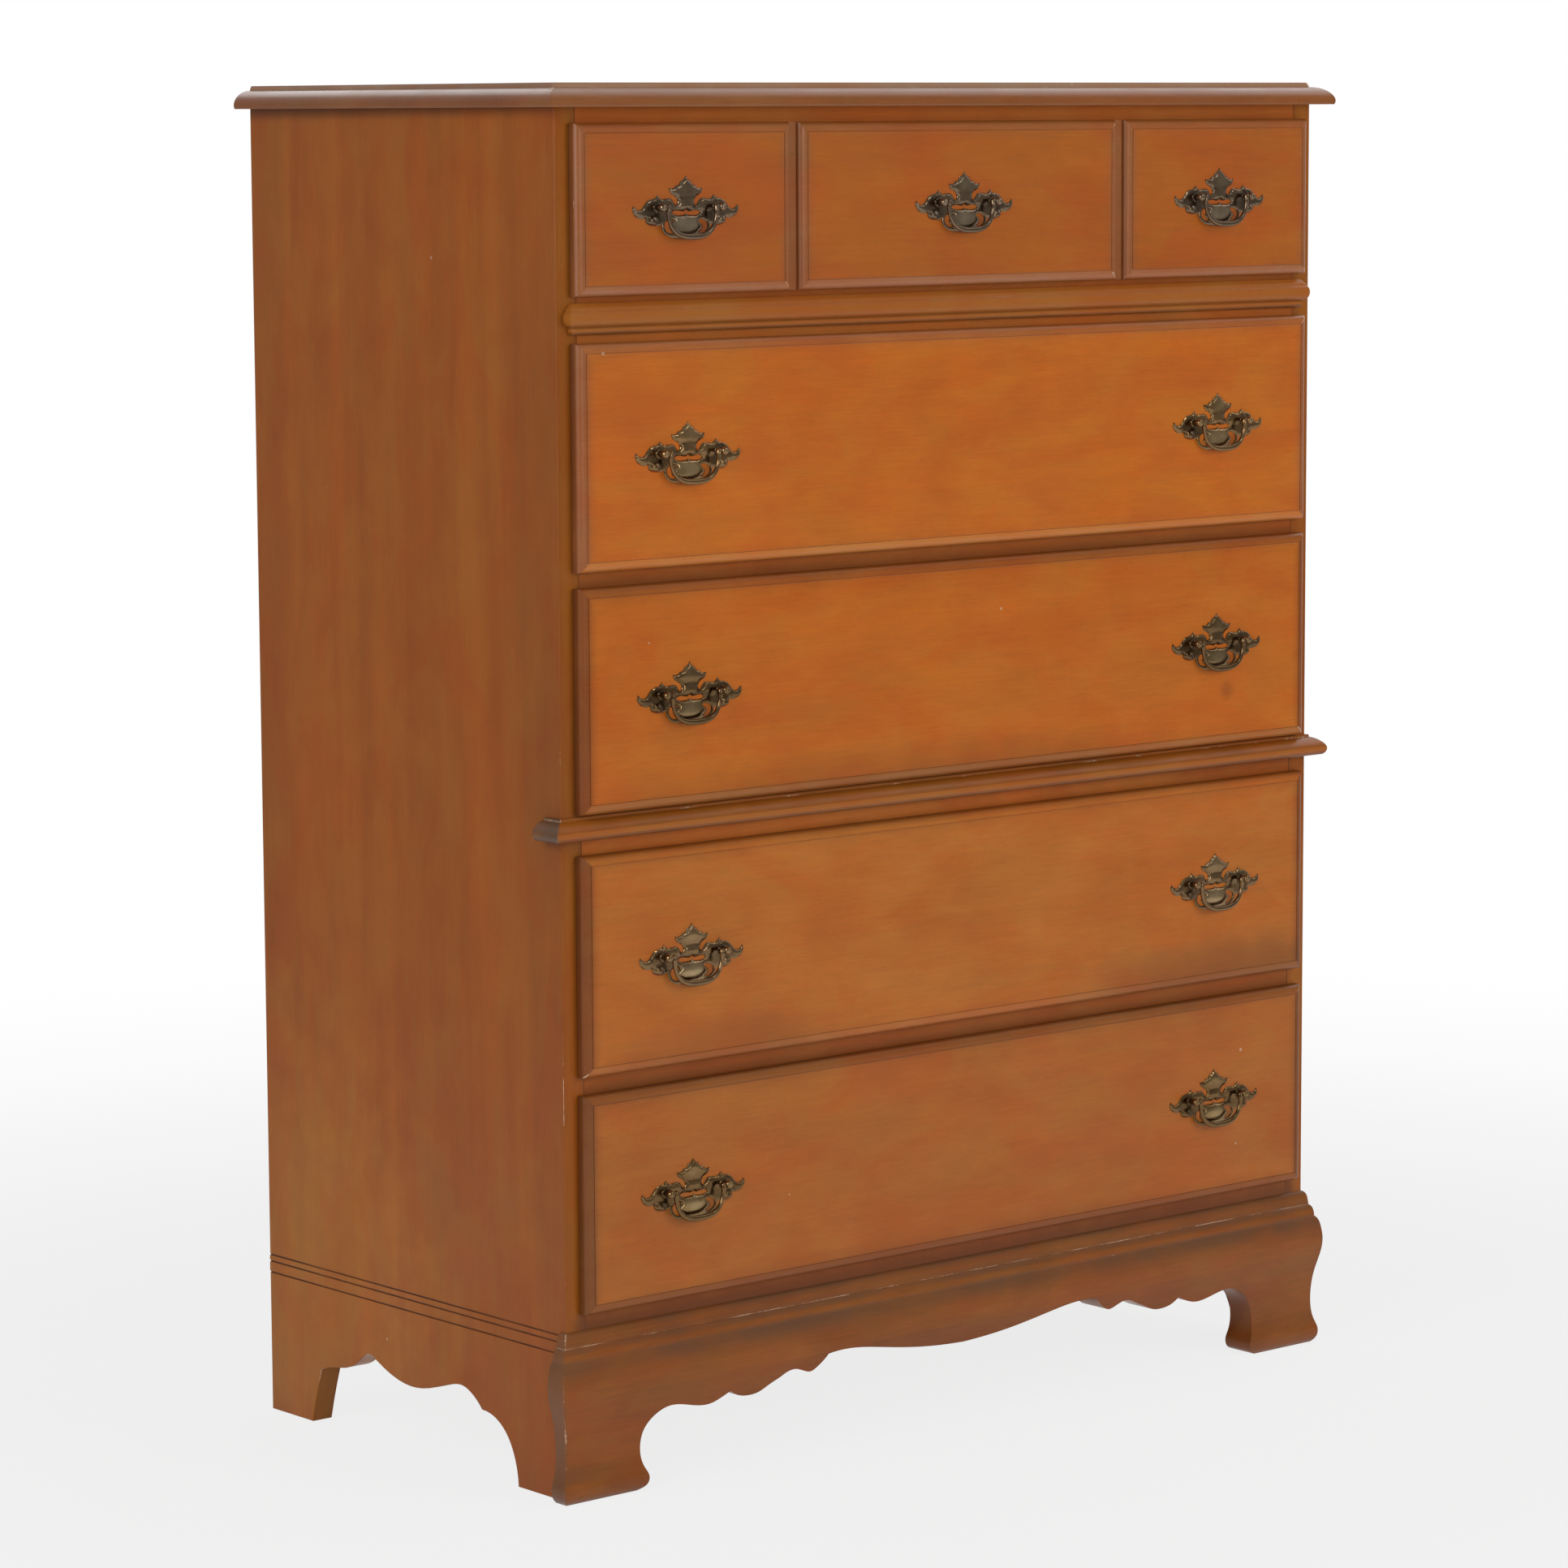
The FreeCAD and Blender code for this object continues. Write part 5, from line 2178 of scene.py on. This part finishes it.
DRAWERS: dict[str, DrawerLook] = {
    "drawer_1": DrawerLook(
        StainedWood(
            "drawer_1 front stain", (0.325, 0.084, 0.003), (0.238, 0.082, 0.022), Grain.ACROSS,
            buffed=(0.30, 0.115, 0.045), sheen=0.45,
        ),
        tarnish=(0.87, 0.45),
    ),
    "drawer_2": DrawerLook(
        StainedWood(
            "drawer_2 front stain", (0.425, 0.115, 0.006), (0.240, 0.085, 0.028), Grain.ACROSS,
            buffed=(0.44, 0.155, 0.028), sheen=0.36,
        ),
        tarnish=(0.97, 0.2),
    ),
    "drawer_3": DrawerLook(
        StainedWood(
            "drawer_3 front stain", (0.405, 0.112, 0.008), (0.170, 0.050, 0.009), Grain.ACROSS,
            buffed=(0.33, 0.120, 0.026),
            stains_and_shade=(Spot(0.328, 0.635, 0.012, 0.012, 0.35), Spot(-0.06, 0.58, 0.45, 0.05, 0.3)),
        ),
        tarnish=(0.66, 0.2),
    ),
    "drawer_4": DrawerLook(
        StainedWood(
            "drawer_4 front stain", (0.375, 0.118, 0.014), (0.165, 0.050, 0.010), Grain.ACROSS,
            buffed=(0.36, 0.120, 0.024),
            stains_and_shade=(Spot(0.36, 0.368, 0.30, 0.050, 0.45), Spot(-0.27, 0.368, 0.16, 0.045, 0.28)),
        ),
        tarnish=(0.93, 0.25), head_shade=0.3, head_glow=0.85,
    ),
    "drawer_5": DrawerLook(
        StainedWood(
            "drawer_5 front stain", (0.340, 0.104, 0.012), (0.155, 0.052, 0.012), Grain.ACROSS,
            buffed=(0.24, 0.075, 0.014), stains_and_shade=(Spot(0.0, 0.165, 0.5, 0.02, 0.2),),
        ),
        tarnish=(0.74, 0.15), sill_shade=0.6,
    ),
}


def side_wood(case: Case) -> StainedWood:
    """Finish of the case sides: painted shadow under the top, darker near the front by the waist, painted
    shade by the bottom rail, rubbed at a corner, painted floor light low down and lighter stiles.

    Args:
        case: Places of the case.

    Returns:
        The finish.
    """
    stile = (case.half + case.inner_half) / 2
    stile_reach = (case.half - case.inner_half) * 0.75
    return StainedWood(
        "stained case side", (0.240, 0.066, 0.007), RIM, Grain.UPRIGHT, band=1.3, streak=0.5, cloud=0.5,
        marks=0.4, sheen=0.20,
        stains_and_shade=(
            # Painted shadow under the top's overhang.
            Spot(case.back, 1.172, 0.46, 0.014, 0.5, on_side=True),
            # Darker near the front edge by the waist.
            Spot(case.front, 0.62, 0.09, 0.16, 0.20, on_side=True),
            Spot(case.front, 0.80, 0.14, 0.42, 0.10, on_side=True),
            # Painted shade on the stiles beside the bottom rail.
            Spot(-case.inner_half, 0.148, 0.020, 0.022, 0.7),
            Spot(case.inner_half, 0.148, 0.020, 0.022, 0.7),
        ),
        rubs=(Spot(case.front, 0.355, 0.02, 0.045, 1.2, on_side=True),),
        lifts=(
            # Painted floor light low on the sides.
            Spot(case.back, 0.12, 0.36, 0.34, 1.0, on_side=True),
            # Stiles lighter in tone.
            Spot(-stile, 0.7, stile_reach, 5.0, 0.7),
            Spot(stile, 0.7, stile_reach, 5.0, 0.7),
        ),
        lifted=(1.22, 1.45, 1.5),
    )


def rail_wood(case: Case) -> StainedWood:
    """Finish of the rails: painted light under the mouldings, painted shade over two of the drawers and by the
    base.

    Args:
        case: Places of the case.

    Returns:
        The finish.
    """
    wide, drop, tall = 5.0, 0.006, 0.014
    # Painted shade on the rails just above the third and fifth drawers.
    shade_above_drawers = [Spot(0.0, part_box(node)[1].z, wide, 0.010, 0.35) for node in ("drawer_3_front", "drawer_5_front")]
    return StainedWood(
        "stained rail", (0.275, 0.080, 0.012), RIM, Grain.ACROSS, seam=case.inner_half, sheen=0.18,
        # Painted shade above those drawers and on the bottom rail.
        stains_and_shade=(*shade_above_drawers, Spot(0.0, 0.143, wide, 0.024, 0.7)),
        # Painted light just under the top and the two mouldings.
        lifts=(
            Spot(0.0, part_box("top_panel")[0].z - drop, wide, tall, 0.55),
            Spot(0.0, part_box("bead_moulding")[0].z - drop, wide, tall, 0.55),
            Spot(-0.22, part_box("waist_moulding")[0].z - drop, 0.7, tall, 1.0),
        ),
        lifted=(1.4, 1.4, 1.4),
    )


def dress_inside(effects: Effects) -> None:
    """Gives the pieces inside and behind the case their finishes.

    Args:
        effects: Shared shader groups.
    """
    sides = [f"{body}_{hand}_side" for body in DRAWERS for hand in ("left", "right")]
    deep_wood = replace(PALE_WOOD, name="pale wood, grain to the back", grain=Grain.DEEP)
    dress(deep_wood.material(effects), "drawer_runners", *sides)
    dress(PALE_WOOD.material(effects), "rear_rails", *[body + "_back" for body in DRAWERS])
    dress(BLOCK_WOOD.material(effects), "glue_blocks")
    dress(THIN_PLY.material(effects), *[body + "_bottom" for body in DRAWERS])
    dress(BACK_BOARD.material(effects), "back_panel")
    dress(STEEL.material(effects), "back_panel_nails")


def main() -> None:
    """Builds the chest and its studio."""
    logging.basicConfig(level=logging.INFO, format="%(name)s: %(message)s")
    effects = Effects()
    trees = Trees()
    case = Case()
    CaseWork(case, *[wood.material(effects) for wood in (side_wood(case), EDGE_WOOD, TOP_WOOD)]).build()
    plate = PullPlate().mesh()
    for body, look in DRAWERS.items():
        DrawerFront(body, case, look.wood.material(effects), look).build()
        sides = ("left", "middle", "right") if body == "drawer_1" else ("left", "right")
        # Darkened per drawer for tarnish and for painted darker reflections.
        brass = BRASS.darkened(body + " pull brass", *look.tarnish)
        Pulls(body, sides, trees, brass.material(effects), plate).build()
    dress(rail_wood(case).material(effects), "top_rail", "divider_rails", "bottom_rail")
    dress_inside(effects)
    Studio().build()


if __name__ == "__main__":
    main()
